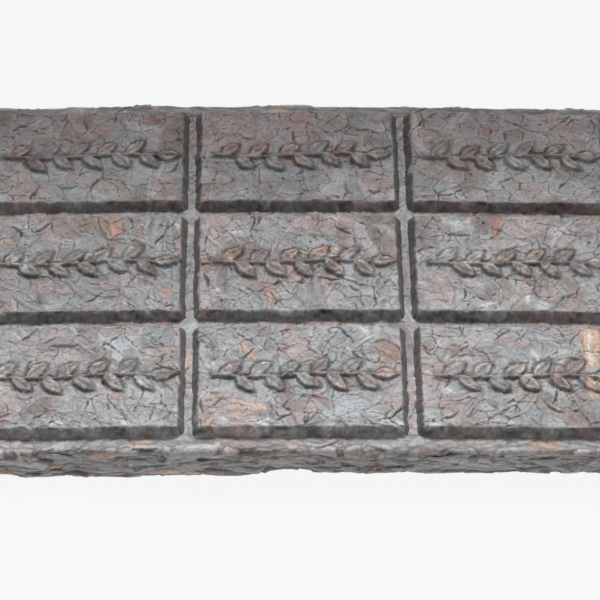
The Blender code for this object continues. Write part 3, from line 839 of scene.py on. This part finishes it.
def makeTablet(number, centreX, centreY, material):
    name = f"tablet{number}"
    mesh, shown, localX, localY = tabletLattice(name)

    def form(x, y):
        ragged = bumps(x, y, 1.3, number + 40)
        ragged += 0.5 * bumps(x, y, 0.45, number)
        ragged *= 1 - tablet["straighter"] * onSides(x, y)
        inside = inFoot(x, y)
        share = np.clip((inside + tablet["wobble"] * ragged) / brick["wallRun"], 0, 1)
        profile = share - 0.5 * np.sin(2 * math.pi * share) / (2 * math.pi)
        wave = bumps(x, y, 3.6, number + 90) * smoothStep(0, 1, share)
        sink = tablet["dive"] * np.minimum(inside, 0)
        return floorAt(centreX + x) + brick["rise"] * profile + tablet["wave"] * wave + sink

    sheet = sheetOver(reachX, reachY, tablet["pixel"])
    row = number // brick["columns"]
    lastRow = row == brick["rows"] - 1
    layTabletLeaves(sheet, number, lastRow)
    fragments = tablet["backFragments" if lastRow else "fragments"]
    shatter(sheet, tablet["fragmentSeed"] + 30 * number, fragments)
    u, v = sheetPlaces(sheet)
    onWall = wallMask(u, v, number)
    inside, rib = sprigOutline(u, v, number)
    inside = inside + 0.11 * mm * crinkle(u, v, 0.9 * mm, number + 60)
    whole = 0.3 * mm * wallMask(u, v, number, 0)  # cracks are narrower on the walls and the sprig
    sheet["crack"] += whole + 0.2 * mm * smoothStep(-0.5 * mm, 0.1 * mm, inside)
    finishSheet(sheet, tablet["crackDepth"], smooth=np.maximum(0.4 * onWall, tablet["smooth"][row]))
    tintTablet(sheet, number, lastRow, onWall)
    raiseSprig(sheet, number, inside, rib)
    x, y = localX[shown], localY[shown]
    wall = wallMask(x, y, number)
    relief = readSheet(sheet, "height", x, y) * (1 - (1 - tablet["wallRelief"]) * wall)
    moved = np.stack([x + centreX, y + centreY, form(x, y)], 1) + normalsOf(form, x, y) * relief[:, None]
    top, room = cadHigh.z + 0.1 * mm, 0.12 * mm  # nothing stands higher than the two together
    z = moved[:, 2]
    moved[:, 2] = np.where(z > top, top + room * np.tanh((z - top) / room), z)
    low = floorAt(centreX) - tablet["depth"]
    points = np.stack([localX + centreX, localY + centreY, np.full(len(localX), low)], 1)
    points[shown] = moved
    movePoints(mesh, points)
    dressMesh(mesh, sheet, x, y, wallDarkAndShade(x, y, number, wall), shown)
    addPiece(name, mesh, material)


def nodeOf(tree, kind, inputs=None, **settings):  # adds a node; inputs: values or output sockets, by socket
    made = tree.nodes.new(kind)
    for name, value in settings.items():
        setattr(made, name, value)
    for name, value in (inputs or {}).items():
        if isinstance(value, bpy.types.NodeSocket):
            tree.links.new(value, made.inputs[name])
        else:
            made.inputs[name].default_value = value
    return made


pressedTea = {
    "strengths": {
        "Crack Width": 0.09, "Crack Strength": 0.44, "Vein Contrast": 0.16, "Mottle": 0.42, "Speckle": 0.55,
        "Painted Sheen": 0.3, "Wall Dark And Shade": 0.80,
    },
    "rimStrengths": {"Crack Strength": 0.6, "Wall Dark And Shade": 0.5},  # where they differ on the rim and the rest
    # pale bluish patches that stand for sheen: painted sheen
    "paintedSheenColour": (0.30, 0.335, 0.345, 1),
    "wallColour": (0.050, 0.036, 0.032, 1),
    # the cracks' colour: partly tea dust, partly painted shade in the crevices
    "crackDustAndShadeColour": (0.040, 0.034, 0.032, 1),
    "bump": 0.10 * mm,
    "specular": 0.5,
    "sheen": 0.12,
    "sheenTint": (0.86, 0.94, 1.0, 1.0),
}


def leafTextureGroup():  # veins, mottling and cracks of pressed leaf, read from the meshes' own maps
    group = bpy.data.node_groups.new("leafTexture", "ShaderNodeTree")
    for name, value in pressedTea["strengths"].items():
        socket = group.interface.new_socket(name, in_out="INPUT", socket_type="NodeSocketFloat")
        socket.default_value = value
    for name, kind in (("Color", "Color"), ("Roughness", "Float"), ("Height", "Float")):
        group.interface.new_socket(name, in_out="OUTPUT", socket_type="NodeSocket" + kind)
    given = group.nodes.new("NodeGroupInput").outputs
    place = nodeOf(group, "ShaderNodeTexCoord").outputs["Object"]
    colour = nodeOf(group, "ShaderNodeAttribute", attribute_name="leafColour").outputs["Color"]
    grain = nodeOf(group, "ShaderNodeAttribute", attribute_name="leafGrain").outputs["Vector"]
    edge = nodeOf(group, "ShaderNodeAttribute", attribute_name="leafEdge").outputs["Fac"]
    wall = nodeOf(group, "ShaderNodeAttribute", attribute_name="pressedWallAndShade").outputs["Fac"]

    def noise(vector, scale, detail, roughness=0.55):
        inputs = {"Vector": vector, "Scale": scale, "Detail": detail, "Roughness": roughness}
        return nodeOf(group, "ShaderNodeTexNoise", inputs).outputs["Fac"]

    def ranged(value, lowOut, highOut, lowIn=0.3, highIn=0.7):
        inputs = {"Value": value, "From Min": lowIn, "From Max": highIn, "To Min": lowOut, "To Max": highOut}
        return nodeOf(group, "ShaderNodeMapRange", inputs).outputs["Result"]

    def plus(first, second):
        return nodeOf(group, "ShaderNodeMath", {0: first, 1: second}, operation="ADD").outputs[0]

    def times(first, second):
        return nodeOf(group, "ShaderNodeMath", {0: first, 1: second}, operation="MULTIPLY").outputs[0]

    def mixed(factor, first, second):
        made = nodeOf(group, "ShaderNodeMix", data_type="RGBA")
        for socket, value in ((0, factor), (6, first), (7, second)):
            if isinstance(value, bpy.types.NodeSocket):
                group.links.new(value, made.inputs[socket])
            else:
                made.inputs[socket].default_value = value
        return made.outputs[2]

    alongLeaf = nodeOf(group, "ShaderNodeMapping", {"Vector": grain, "Scale": (0.6, 2.2, 1.0)})
    veins = noise(alongLeaf.outputs["Vector"], 1.0, 4.0, 0.62)
    fineGrain = noise(place, 3200, 4.0, 0.75)
    mottle = noise(place, 620, 4.0, 0.65)
    patches = noise(place, 210, 2.0)
    # tone: veins, mottling and specks, round 1
    tone = times(ranged(veins, -1.0, 1.0), given["Vein Contrast"])
    tone = plus(tone, times(ranged(mottle, -1.0, 1.0), given["Mottle"]))
    # fine specks: random grain that also follows the fine bumps, lighter on their tops, so partly painted
    # highlight and shade
    tone = plus(tone, times(ranged(fineGrain, -1.0, 1.0), given["Speckle"]))
    tone = plus(times(tone, 0.5), 1.0)
    # painted sheen: pale bluish patches
    sheenPatches = times(ranged(patches, 0.0, 1.0, 0.45, 0.65), given["Painted Sheen"])
    sheened = mixed(sheenPatches, colour, pressedTea["paintedSheenColour"])
    # the walls' dark colour: partly their own, partly painted shade
    walled = mixed(times(wall, given["Wall Dark And Shade"]), sheened, pressedTea["wallColour"])
    toned = nodeOf(group, "ShaderNodeVectorMath", {0: walled, "Scale": tone}, operation="SCALE")
    # cracks: the width wanders, so an outline fades and returns; their dark colour is partly tea dust and
    # partly painted shade in the crevices
    wandering = plus(edge, ranged(mottle, 0.07, -0.05))
    wandering = plus(wandering, ranged(fineGrain, 0.05, -0.04))
    gaping = ranged(noise(place, 420, 2.0), 0.12, 2.0, 0.38, 0.64)
    crack = ranged(wandering, 1.0, 0.0, 0.02, plus(times(gaping, given["Crack Width"]), 0.025))
    crackMask = times(crack, given["Crack Strength"])
    cracked = mixed(crackMask, toned.outputs[0], pressedTea["crackDustAndShadeColour"])
    rough = plus(ranged(veins, 0.36, 0.58), times(crackMask, 0.3))
    height = plus(times(veins, 0.6), times(fineGrain, 1.5))
    height = plus(height, times(mottle, 2.0))
    height = plus(height, times(crackMask, -0.6))
    nodeOf(group, "NodeGroupOutput", {"Color": cracked, "Roughness": rough, "Height": height})
    return group


def leafMaterial(name, group, strengths):
    material = bpy.data.materials.new(name)
    material.use_nodes = True
    tree = material.node_tree
    shader = tree.nodes["Principled BSDF"]
    texture = nodeOf(tree, "ShaderNodeGroup", node_tree=group)
    for socket, value in strengths.items():
        texture.inputs[socket].default_value = value
    inputs = {"Height": texture.outputs["Height"], "Distance": pressedTea["bump"], "Strength": 0.9}
    bump = nodeOf(tree, "ShaderNodeBump", inputs)
    tree.links.new(texture.outputs["Color"], shader.inputs["Base Color"])
    tree.links.new(texture.outputs["Roughness"], shader.inputs["Roughness"])
    tree.links.new(bump.outputs["Normal"], shader.inputs["Normal"])
    shader.inputs["Specular IOR Level"].default_value = pressedTea["specular"]
    shader.inputs["Sheen Weight"].default_value = pressedTea["sheen"]
    shader.inputs["Sheen Roughness"].default_value = 0.45
    shader.inputs["Sheen Tint"].default_value = pressedTea["sheenTint"]
    return material


texture = leafTextureGroup()
faceMaterial = leafMaterial("pressedFace", texture, {})
rimMaterial = leafMaterial("pressedRim", texture, pressedTea["rimStrengths"])

number = 0
for row in range(brick["rows"]):
    for column in range(brick["columns"]):
        centreX = (column - (brick["columns"] - 1) / 2) * brick["columnPitch"]
        centreY = (row - (brick["rows"] - 1) / 2) * brick["rowPitch"]
        makeTablet(number, centreX, centreY, faceMaterial)
        number += 1
print("tablets:", number)


rimBand = {
    "columns": 1640,  # round the brick
    "pixel": 0.08 * mm,
    "reachIn": 2.6 * mm,  # from the side to the band's hidden inner wall
    "reachBelow": 2.9 * mm,  # the same on the underside, within the corners' radius
    "innerLift": 0.35 * mm,  # how far the band rises there, into the slab
    "upperEdge": 0.45 * mm,  # radius
    "lowerEdge": 0.35 * mm,
    "lift": 0.03 * mm,  # the underside stands this far above the floor
    "floorGap": 0.005 * mm,  # nothing comes nearer to the floor
    "bulge": 0.20 * mm,
    "ragged": 0.16 * mm,
    "noises": ((46, 3.2 * mm, 21), (150, 1.3 * mm, 22)),  # of the two: bumps round it, height, seed
    "frontFoot": (  # x and how far the foot stands out there, in mm: lobes and a chipped hollow
        (-45, 0.3), (-42, 0.5), (-39, 1.1), (-34, 0.7), (-26, 0.9), (-20, 0.7), (-15, 0.5), (-11, 0.6),
        (-6.5, 0.4), (-4, -0.6), (-1, -0.7), (2, -0.1), (8, 0.3), (13, -0.1), (18, 0.1), (27, 0.3),
        (33, -0.1), (36, 0.1), (38, 0.4), (43, 0.4),
    ),
    "backIn": 0.35 * mm,
    "ledgeShade": 0.07,
    "accents": (  # on the front: colour, x, height above the floor (None: on the ledge), length, width, turn
        ("gold", 34.4, None, 4.1, 1.4, -8),
        ("ash", -38.7, None, 2.5, 1.1, 0),
        ("peach", -23.2, None, 1.2, 1.6, 0),
        ("peach", -40.5, 1.0, 3.6, 1.5, 25),
        ("rose", -27.4, 0.9, 6.2, 1.3, 4),
        ("rose", 0.5, 3.2, 4.6, 1.5, 0),
        ("peach", -24.9, 3.6, 1.0, 2.4, 0),
    ),
    "cracks": (90, (1.5, 6.0), (0.10, 0.30), 0.14, 0.3),  # count, lengths and widths in mm, slant, wander
    "crackDepth": 0.12 * mm,
    # painted shade in the rim's hollows, stronger than elsewhere
    "hollowShade": 0.42,
    "seed": 300,
}


def rimProfile():  # from the underside up and in: inward offset, height, share of the slab's; and arc lengths
    lowR, highR = rimBand["lowerEdge"], rimBand["upperEdge"]
    stops = [(rimBand["reachBelow"], rimBand["innerLift"], 0.0)]
    quarter = [math.radians(90 * turn / 4) for turn in range(5)]
    for angle in quarter:
        stops.append((lowR * (1 - math.sin(angle)), rimBand["lift"] + lowR * (1 - math.cos(angle)), 0.0))
    for angle in quarter:
        stops.append((highR * (1 - math.cos(angle)), -highR * (1 - math.sin(angle)), 1.0))
    stops.append((rimBand["reachIn"] - 0.15 * mm, 0.0, 1.0))
    stops.append((rimBand["reachIn"], -0.5 * mm, 1.0))
    arcs = [0.0]
    for first, second in zip(stops, stops[1:]):
        rise = second[1] - first[1] + (second[2] - first[2]) * (rimHeight + brick["crown"] / 2)
        arcs.append(arcs[-1] + math.hypot(second[0] - first[0], rise))
    return np.array(stops), np.array(arcs)


def perimeterPoint(u):  # core point and outward direction at u, the distance round the brick's outline
    coreX, coreY = slabLength / 2 - brick["corner"], slabWidth / 2 - brick["corner"]
    arc = math.pi / 2 * brick["corner"]
    coreCorners = [(-coreX, -coreY), (coreX, -coreY), (coreX, coreY), (-coreX, coreY)]
    x, y, angle = np.zeros(len(u)), np.zeros(len(u)), np.zeros(len(u))
    start = 0.0
    for side in range(4):
        first, second = coreCorners[side], coreCorners[(side + 1) % 4]
        run = math.hypot(second[0] - first[0], second[1] - first[1])
        facing = math.pi / 2 * (side - 1)
        straight = (u >= start) & (u < start + run)
        share = (u[straight] - start) / run
        x[straight] = first[0] + (second[0] - first[0]) * share
        y[straight] = first[1] + (second[1] - first[1]) * share
        angle[straight] = facing
        curved = (u >= start + run) & (u < start + run + arc)
        x[curved], y[curved] = second
        angle[curved] = facing + (u[curved] - start - run) / arc * math.pi / 2
        start += run + arc
    return x, y, np.cos(angle), np.sin(angle), start


rimStops = (1, 10, 11, 12)  # of the profile: where the underside, the side, the ledge and the inner wall end


def rimSheet(total, arcs):  # leaves in layers along the sides, and laid flat on the ledge
    sideLow, sideHigh, ledgeEnd, _ = (arcs[stop] for stop in rimStops)
    sheet = newSheet(0, 0, total, arcs[-1], rimBand["pixel"], True)
    draw = random.Random(rimBand["seed"])
    for kind, count, spread, low, high in (
        ("broad", 420, 0.6, sideHigh - 0.2 * mm, ledgeEnd + 0.6 * mm),
        ("strip", 100, 0.5, sideHigh, ledgeEnd + 0.5 * mm),
        ("fold", 400, 0.20, 0.0, sideHigh - 0.3 * mm),
        ("layer", 150, 0.20, sideLow, sideHigh),
        ("fold", 110, 0.28, sideLow - 0.4 * mm, sideHigh - 0.6 * mm),
        ("crumb", 90, 1.5, sideLow, ledgeEnd),
        ("accent", 40, 0.25, sideLow, ledgeEnd),
    ):
        scatterLeaves(sheet, draw, kind, count, spread, low, high)
    for colour, x, z, length, width, turn in rimBand["accents"]:
        placeU = x * mm + slabLength / 2 - brick["corner"]
        placeV = sideHigh + 0.5 * mm if z is None else sideLow + z * mm
        pressLeaf(sheet, placeLeaf(draw, colour, placeU / mm, placeV / mm, length, width, turn, 0, 3))
    onLedge = smoothStep(sideHigh - 0.2 * mm, sideHigh + 0.5 * mm, sheetPlaces(sheet)[1])
    scatterCracks(sheet, draw, *rimBand["cracks"], sideLow, sideHigh)
    finishSheet(sheet, rimBand["crackDepth"], rimBand["hollowShade"], 0.7 * onLedge)
    sheet["colour"] *= 1 - rimBand["ledgeShade"] * onLedge[:, :, None]
    return sheet


def makeRim(material):
    stops, arcs = rimProfile()
    sideLow, sideHigh, ledgeEnd, innerEnd = (arcs[stop] for stop in rimStops)
    total = perimeterPoint(np.zeros(1))[4]
    # rows of vertices: wide apart on the underside, close on the side and the ledge, few inside
    rowsAt = [0.0]
    steps = (0.45 * mm, 0.19 * mm, 0.18 * mm, 0.25 * mm)
    for end, step in zip((sideLow, sideHigh, ledgeEnd, innerEnd), steps):
        begin = rowsAt[-1]
        count = max(1, round((end - begin) / step))
        rowsAt += [begin + (end - begin) * (index + 1) / count for index in range(count)]
    rows = len(rowsAt)  # one more row closes the inner wall
    mesh = meshOf(gridOf(rimBand["columns"], rows), "rimAndSides")
    points = readPoints(mesh)
    columnShare, rowShare = points[:, 0] + 0.5, points[:, 1] + 0.5
    index = np.round(rowShare * rows).astype(int) % rows
    v = np.array(rowsAt)[index]
    u = columnShare * total % total
    u[columnShare > 1 - 1e-6] = 0.0

    def surface(u, v):
        coreX, coreY, outX, outY, _ = perimeterPoint(u % total)
        out = brick["corner"] - np.interp(v, arcs, stops[:, 0])
        x, y = coreX + outX * out, coreY + outY * out
        z = np.interp(v, arcs, stops[:, 1]) + np.interp(v, arcs, stops[:, 2]) * floorAt(x)
        return np.stack([x, y, z], 1)

    step = 0.03 * mm
    tangentU = surface(u + step, v) - surface(u - step, v)
    tangentV = surface(u, np.minimum(v + step, arcs[-1])) - surface(u, np.maximum(v - step, 0))
    normals = np.cross(tangentU, tangentV)
    normals /= np.maximum(np.linalg.norm(normals, axis=1, keepdims=True), 1e-12)
    sheet = rimSheet(total, arcs)
    onSide = smoothStep(sideLow, sideLow + 0.8 * mm, v)
    onSide *= 1 - smoothStep(sideHigh - 0.4 * mm, sideHigh + 0.3 * mm, v)
    swell, rough = (
        softNoise(u / total * around, v / high, seed, around) for around, high, seed in rimBand["noises"]
    )
    relief = readSheet(sheet, "height", u, v) * (0.5 + 0.5 * onSide)
    relief += rimBand["bulge"] * swell * (0.3 + 0.7 * onSide) + rimBand["ragged"] * rough * onSide
    relief[(v > ledgeEnd) | (v <= 0)] = 0
    onFoot = smoothStep(0, sideLow, v) * (1 - smoothStep(sideLow + 0.2 * mm, sideHigh, v))
    along = surface(u, v)[:, 0]
    toBack = perimeterPoint(u)[3]
    atFront = smoothStep(0.7, 0.95, -toBack)
    relief += np.interp(along / mm, *np.array(rimBand["frontFoot"]).T) * mm * onFoot * atFront
    relief -= rimBand["backIn"] * onSide * smoothStep(0.7, 0.95, toBack)
    moved = surface(u, v) + normals * relief[:, None]
    moved[:, 2] = np.maximum(moved[:, 2], rimBand["floorGap"])
    movePoints(mesh, moved)
    # painted shade: the foot and the underside next to it darker, where the brick meets the floor; the sides
    # a little darker
    foot = 1 - smoothStep(sideLow, sideLow + 1.1 * mm, v)
    dressMesh(mesh, sheet, u, v, 0.18 * onSide + 0.5 * foot, np.ones(len(points), bool))
    closeSeam(mesh)
    addPiece("rimAndSides", mesh, material)
    seats = np.nonzero((v > sideLow + 1.2 * mm) & (v < sideHigh - 1.2 * mm))[0]
    outward = perimeterPoint(u[seats] % total)[2:4]
    curving = (np.abs(outward[0] * outward[1]) > 0.001) / brick["corner"]
    return moved[seats], normals[seats], tangentU[seats], curving


flake = {  # sizes in mm, as least and most
    "seed": 1200,
    "count": 300,
    "length": (2.6, 8.0),
    "width": (0.7, 1.7),
    "thickness": (0.16, 0.30),
    "lift": (-0.22, 0.0),
    "curl": (0.0, 0.20),  # of the width: its long edges bend inwards
    "arch": (0.02, 0.05),  # of the length: its tips bend inwards
    "spread": 0.12,
    "roll": 0.16,
    "upward": 0.25,  # how much they lie like shingles, facing up
    "atCorner": 3.4 * mm,  # no longer than this where the side turns
    "floorGap": 0.006 * mm,
}


flakeSizes = ("length", "width", "thickness")


def makeFlakes(places, normals, tangents, curving, material):  # curled leaf pieces on some of these places
    draw = random.Random(flake["seed"])
    bm = bmesh.new()
    bmesh.ops.create_uvsphere(bm, u_segments=10, v_segments=5, radius=1)
    mesh = bpy.data.meshes.new("sideFlakes")
    bm.to_mesh(mesh)
    ball = readPoints(mesh)
    a, b, c = ball.T
    for _ in range(flake["count"] - 1):
        bm.from_mesh(mesh)
    bm.to_mesh(mesh)
    bm.free()
    points, colours, grains = [], [], []
    for index in range(flake["count"]):
        at = draw.randrange(len(places))
        length, width, thickness = (draw.uniform(*flake[size]) * mm for size in flakeSizes)
        if curving[at]:
            length = min(length, flake["atCorner"])
        across = b * (1 + 0.22 * np.sin(draw.uniform(2, 5) * a + draw.uniform(0, 6.28)))
        rise = -draw.uniform(*flake["curl"]) * width * across ** 2
        rise -= draw.uniform(*flake["arch"]) * length * a ** 2
        wave = 0.05 * width * np.sin(5 * a + draw.uniform(0, 6.28))
        rise += wave - curving[at] * (a * length / 2) ** 2 / 2
        sway = draw.uniform(-0.5, 0.5) * width * a ** 2 + 0.12 * width * np.sin(draw.uniform(3, 6) * a + b)
        local = np.stack([a * length / 2, across * width / 2 + sway, c * thickness / 2 + rise], 1)
        normal = Vector(normals[at]).normalized() + Vector((0, 0, flake["upward"] * draw.uniform(0.3, 1.4)))
        along = Vector(tangents[at]).normalized()
        normal = (normal - along * normal.dot(along)).normalized()
        turn = Matrix.Rotation(draw.gauss(0, flake["spread"]), 3, "Z")
        roll = Matrix.Rotation(draw.gauss(0, flake["roll"]), 3, "X")
        seat = Matrix((along, normal.cross(along), normal)).transposed() @ (turn @ roll)
        lift = Vector(normals[at]) * draw.uniform(*flake["lift"]) * mm
        points.append(local @ np.array(seat).T + np.array(Vector(places[at]) + lift))
        colours += [drawColour(draw, None, 1.04, 0.1) + [1.0]] * len(ball)
        flakeNumber = np.full(len(ball), index * 1.7)
        grains.append(np.stack([a * length / 2 / mm, b * width / 2 / mm, flakeNumber], 1))
    points = np.concatenate(points)
    points[:, 2] = np.maximum(points[:, 2], flake["floorGap"])
    movePoints(mesh, points)
    writeAttribute(mesh, "leafColour", "FLOAT_COLOR", colours)
    writeAttribute(mesh, "leafGrain", "FLOAT_VECTOR", np.concatenate(grains))
    writeAttribute(mesh, "leafEdge", "FLOAT", np.full(len(points), 1.0))
    writeAttribute(mesh, "pressedWallAndShade", "FLOAT", np.zeros(len(points)))
    addPiece("sideFlakes", mesh, material)


seats = makeRim(rimMaterial)
makeFlakes(*seats, rimMaterial)
print("rim, sides and their flakes")


bed = {
    "seed": 400,
    "leaves": (("broad", 800), ("strip", 300), ("crumb", 200), ("accent", 30)),
    "fragmentSeed": 600,
    "fragments": ((4.6, 0.03), (2.1, 0.02)),
    "tone": (1.10, 0.04, 0.12),  # how light, and how much lighter towards the back and the right, as painted light where the grooves fall in shade
    "step": 0.75 * mm,
    "cuts": 3,  # finer along the grooves
    "pixel": 0.12 * mm,
    "grooveBand": 1.3 * mm,
    "inset": 2.2 * mm,  # from the slab's side to the bed's border, under the rim
    "dip": 0.45 * mm,
    "reliefShare": 0.6,
    "crackDepth": 0.03 * mm,
    "bottom": 0.4 * mm,  # height at which it is closed, inside the slab
}


def makeBed(material):
    halfX, halfY = slabLength / 2 - bed["inset"], slabWidth / 2 - bed["inset"]
    columns, rows = round(2 * halfX / bed["step"]), round(2 * halfY / bed["step"])
    bm = gridOf(columns, rows)
    bmesh.ops.scale(bm, verts=bm.verts, vec=(2 * halfX, 2 * halfY, 1))

    def toGroove(spot):
        return min(abs(abs(spot.x) - brick["columnPitch"] / 2), abs(abs(spot.y) - brick["rowPitch"] / 2))

    fine = [edge for edge in bm.edges if all(toGroove(vert.co) < bed["grooveBand"] for vert in edge.verts)]
    bmesh.ops.subdivide_edges(bm, edges=fine, cuts=bed["cuts"], use_grid_fill=True)
    bmesh.ops.triangulate(bm, faces=[face for face in bm.faces if len(face.verts) > 4])
    closeBelow(bm)
    mesh = meshOf(bm, "grooveBed")
    points = readPoints(mesh)
    shown = points[:, 2] > -0.5
    x, y = points[shown, 0], points[shown, 1]
    sheet = sheetOver(halfX, halfY, bed["pixel"])
    coverSheet(sheet, random.Random(bed["seed"]), bed["leaves"])
    shatter(sheet, bed["fragmentSeed"], bed["fragments"])
    finishSheet(sheet, bed["crackDepth"], smooth=0.25)
    u, v = sheetPlaces(sheet)
    # painted light: lighter towards the back and the right
    tone, paintedBackLight, paintedRightLight = bed["tone"]
    tone = tone + paintedBackLight * smoothStep(-15 * mm, 5 * mm, v) + paintedRightLight * smoothStep(-5 * mm, 12 * mm, u)
    sheet["colour"] *= tone[:, :, None]
    toBorder = insideRectangle(x, y, halfX, halfY, 0.5 * mm)
    dip = bed["dip"] * (1 - smoothStep(0, 0.35 * mm, toBorder))
    relief = bed["reliefShare"] * readSheet(sheet, "height", x, y) - dip
    points[:, 2] = bed["bottom"]
    points[shown, 2] = floorAt(x) + relief
    movePoints(mesh, points)
    dressMesh(mesh, sheet, x, y, np.zeros(len(x)), shown)
    addPiece("grooveBed", mesh, material)


makeBed(rimMaterial)
print("groove bed")


underside = {
    "seed": 500,
    "step": 0.34 * mm,
    "pixel": 0.12 * mm,
    "inset": 1.9 * mm,  # from the slab's side, inside the rim band's lower edge
    "borderCorner": 1.2 * mm,
    "worn": 0.35 * mm,  # how far it rises at its border, out of sight
    "level": 0.15 * mm,  # height where its relief is nil; leaves reach down from there
    "floorGap": 0.004 * mm,
    "top": 0.8 * mm,  # height at which it is closed, inside the slab
    "fragmentSeed": 700,
    "leaves": (("broad", 900), ("strip", 420), ("broad", 200), ("crumb", 120), ("accent", 30), ("glint", 60)),
    "cracks": (80, (1.5, 5.0), (0.10, 0.34)),
    "crackDepth": 0.06 * mm,
}


def makeUnderside(material):
    halfX, halfY = slabLength / 2 - underside["inset"], slabWidth / 2 - underside["inset"]
    columns, rows = round(2 * halfX / underside["step"]), round(2 * halfY / underside["step"])
    mesh = closedLattice("underside", columns, rows)
    points = readPoints(mesh)
    shown = points[:, 2] > -0.5
    points[:, 0] *= 2 * halfX
    points[:, 1] *= 2 * halfY
    x, y = points[shown, 0], points[shown, 1]
    sheet = sheetOver(halfX, halfY, underside["pixel"])
    draw = random.Random(underside["seed"])
    coverSheet(sheet, draw, underside["leaves"])
    scatterCracks(sheet, draw, *underside["cracks"])
    shatter(sheet, underside["fragmentSeed"], tablet["fragments"])
    finishSheet(sheet, underside["crackDepth"])
    toBorder = insideRectangle(x, y, halfX, halfY, underside["borderCorner"]) - 0.05 * mm
    toBorder += 0.4 * mm * bumps(x, y, 2.5, 31) + 0.2 * mm * bumps(x, y, 0.9, 32)
    height = underside["level"] - readSheet(sheet, "height", x, y)
    height += underside["worn"] * (1 - smoothStep(0, 0.6 * mm, toBorder))
    points[:, 2] = underside["top"]
    points[shown, 2] = np.maximum(height, underside["floorGap"])
    movePoints(mesh, points)
    dressMesh(mesh, sheet, x, y, np.zeros(len(x)), shown)
    closeSeam(mesh)
    addPiece("underside", mesh, material)


makeUnderside(rimMaterial)
print("underside")


studio = {
    "floorSize": 3.0,
    "floorColour": (0.80, 0.80, 0.80, 1),
    "floorShare": 0.03,  # how much of the floor's light is the lamps', the rest is its own
    "floorGlow": 0.935,
    "worldColour": (1.0, 0.97, 0.965, 1),
    "worldStrength": 0.46,
    "spotPlace": (0.03, 0.20, 0.34),  # behind and above, so what faces the camera is in shade
    "spotAim": (0.0, 0.0, 0.0),
    "spotColour": (0.985, 0.972, 1.0),
    "spotPower": 4.4,
    "spotAngle": math.radians(60),
    "spotRadius": 0.05,
    "spotSlope": 14.0,  # how much brighter the beam is towards the front
}


def makeStudio():
    mesh = meshOf(gridOf(8, 8, studio["floorSize"] / 2), "floor")
    floor = bpy.data.objects.new("floor", mesh)
    bpy.context.scene.collection.objects.link(floor)
    material = bpy.data.materials.new("paleFloor")
    material.use_nodes = True
    tree = material.node_tree
    tree.nodes.clear()
    matt = nodeOf(tree, "ShaderNodeBsdfDiffuse", {"Color": studio["floorColour"]})
    glow = nodeOf(tree, "ShaderNodeEmission", {"Color": (1, 1, 1, 1), "Strength": studio["floorGlow"]})
    inputs = {0: studio["floorShare"], 1: glow.outputs[0], 2: matt.outputs[0]}
    both = nodeOf(tree, "ShaderNodeMixShader", inputs)
    clear = nodeOf(tree, "ShaderNodeBsdfTransparent")
    backOf = nodeOf(tree, "ShaderNodeNewGeometry").outputs["Backfacing"]
    seen = nodeOf(tree, "ShaderNodeMixShader", {0: backOf, 1: both.outputs[0], 2: clear.outputs[0]})
    nodeOf(tree, "ShaderNodeOutputMaterial", {"Surface": seen.outputs[0]})
    mesh.materials.append(material)
    world = bpy.data.worlds.new("studio")
    bpy.context.scene.world = world
    world.use_nodes = True
    world.node_tree.nodes["Background"].inputs["Color"].default_value = studio["worldColour"]
    world.node_tree.nodes["Background"].inputs["Strength"].default_value = studio["worldStrength"]
    lamp = bpy.data.lights.new("overheadSpot", "SPOT")
    lamp.energy = studio["spotPower"]
    lamp.spot_size = studio["spotAngle"]
    lamp.spot_blend = 1.0
    lamp.shadow_soft_size = studio["spotRadius"]
    spot = bpy.data.objects.new("overheadSpot", lamp)
    bpy.context.scene.collection.objects.link(spot)
    place, aim = Vector(studio["spotPlace"]), Vector(studio["spotAim"])
    spot.location = place
    spot.rotation_euler = (place - aim).to_track_quat("Z", "Y").to_euler()
    lamp.use_nodes = True
    tree = lamp.node_tree
    beam = nodeOf(tree, "ShaderNodeSeparateXYZ", {0: nodeOf(tree, "ShaderNodeTexCoord").outputs["Normal"]})
    strength = beam.outputs["Y"]
    for operation, value in (("MULTIPLY", studio["spotSlope"]), ("ADD", 1.0), ("MAXIMUM", 0.0)):
        strength = nodeOf(tree, "ShaderNodeMath", {0: strength, 1: value}, operation=operation).outputs[0]
    tree.links.new(strength, tree.nodes["Emission"].inputs["Strength"])
    lamp.color = studio["spotColour"]


def makeCamera():
    right, up, back = viewAxes()
    lens = bpy.data.cameras.new("photoCamera")
    lens.lens = photoView["lens"]
    lens.sensor_width = photoView["sensor"]
    lens.sensor_fit = "HORIZONTAL"
    lens.clip_start = 0.01
    camera = bpy.data.objects.new("photoCamera", lens)
    bpy.context.scene.collection.objects.link(camera)
    turned = Matrix((right, up, back)).transposed().to_4x4()
    camera.matrix_world = Matrix.Translation(photoView["place"]) @ turned
    bpy.context.scene.camera = camera


makeStudio()
makeCamera()
bpy.context.scene.view_settings.view_transform = "Standard"
bpy.context.scene.view_settings.look = "None"
print("studio and camera")
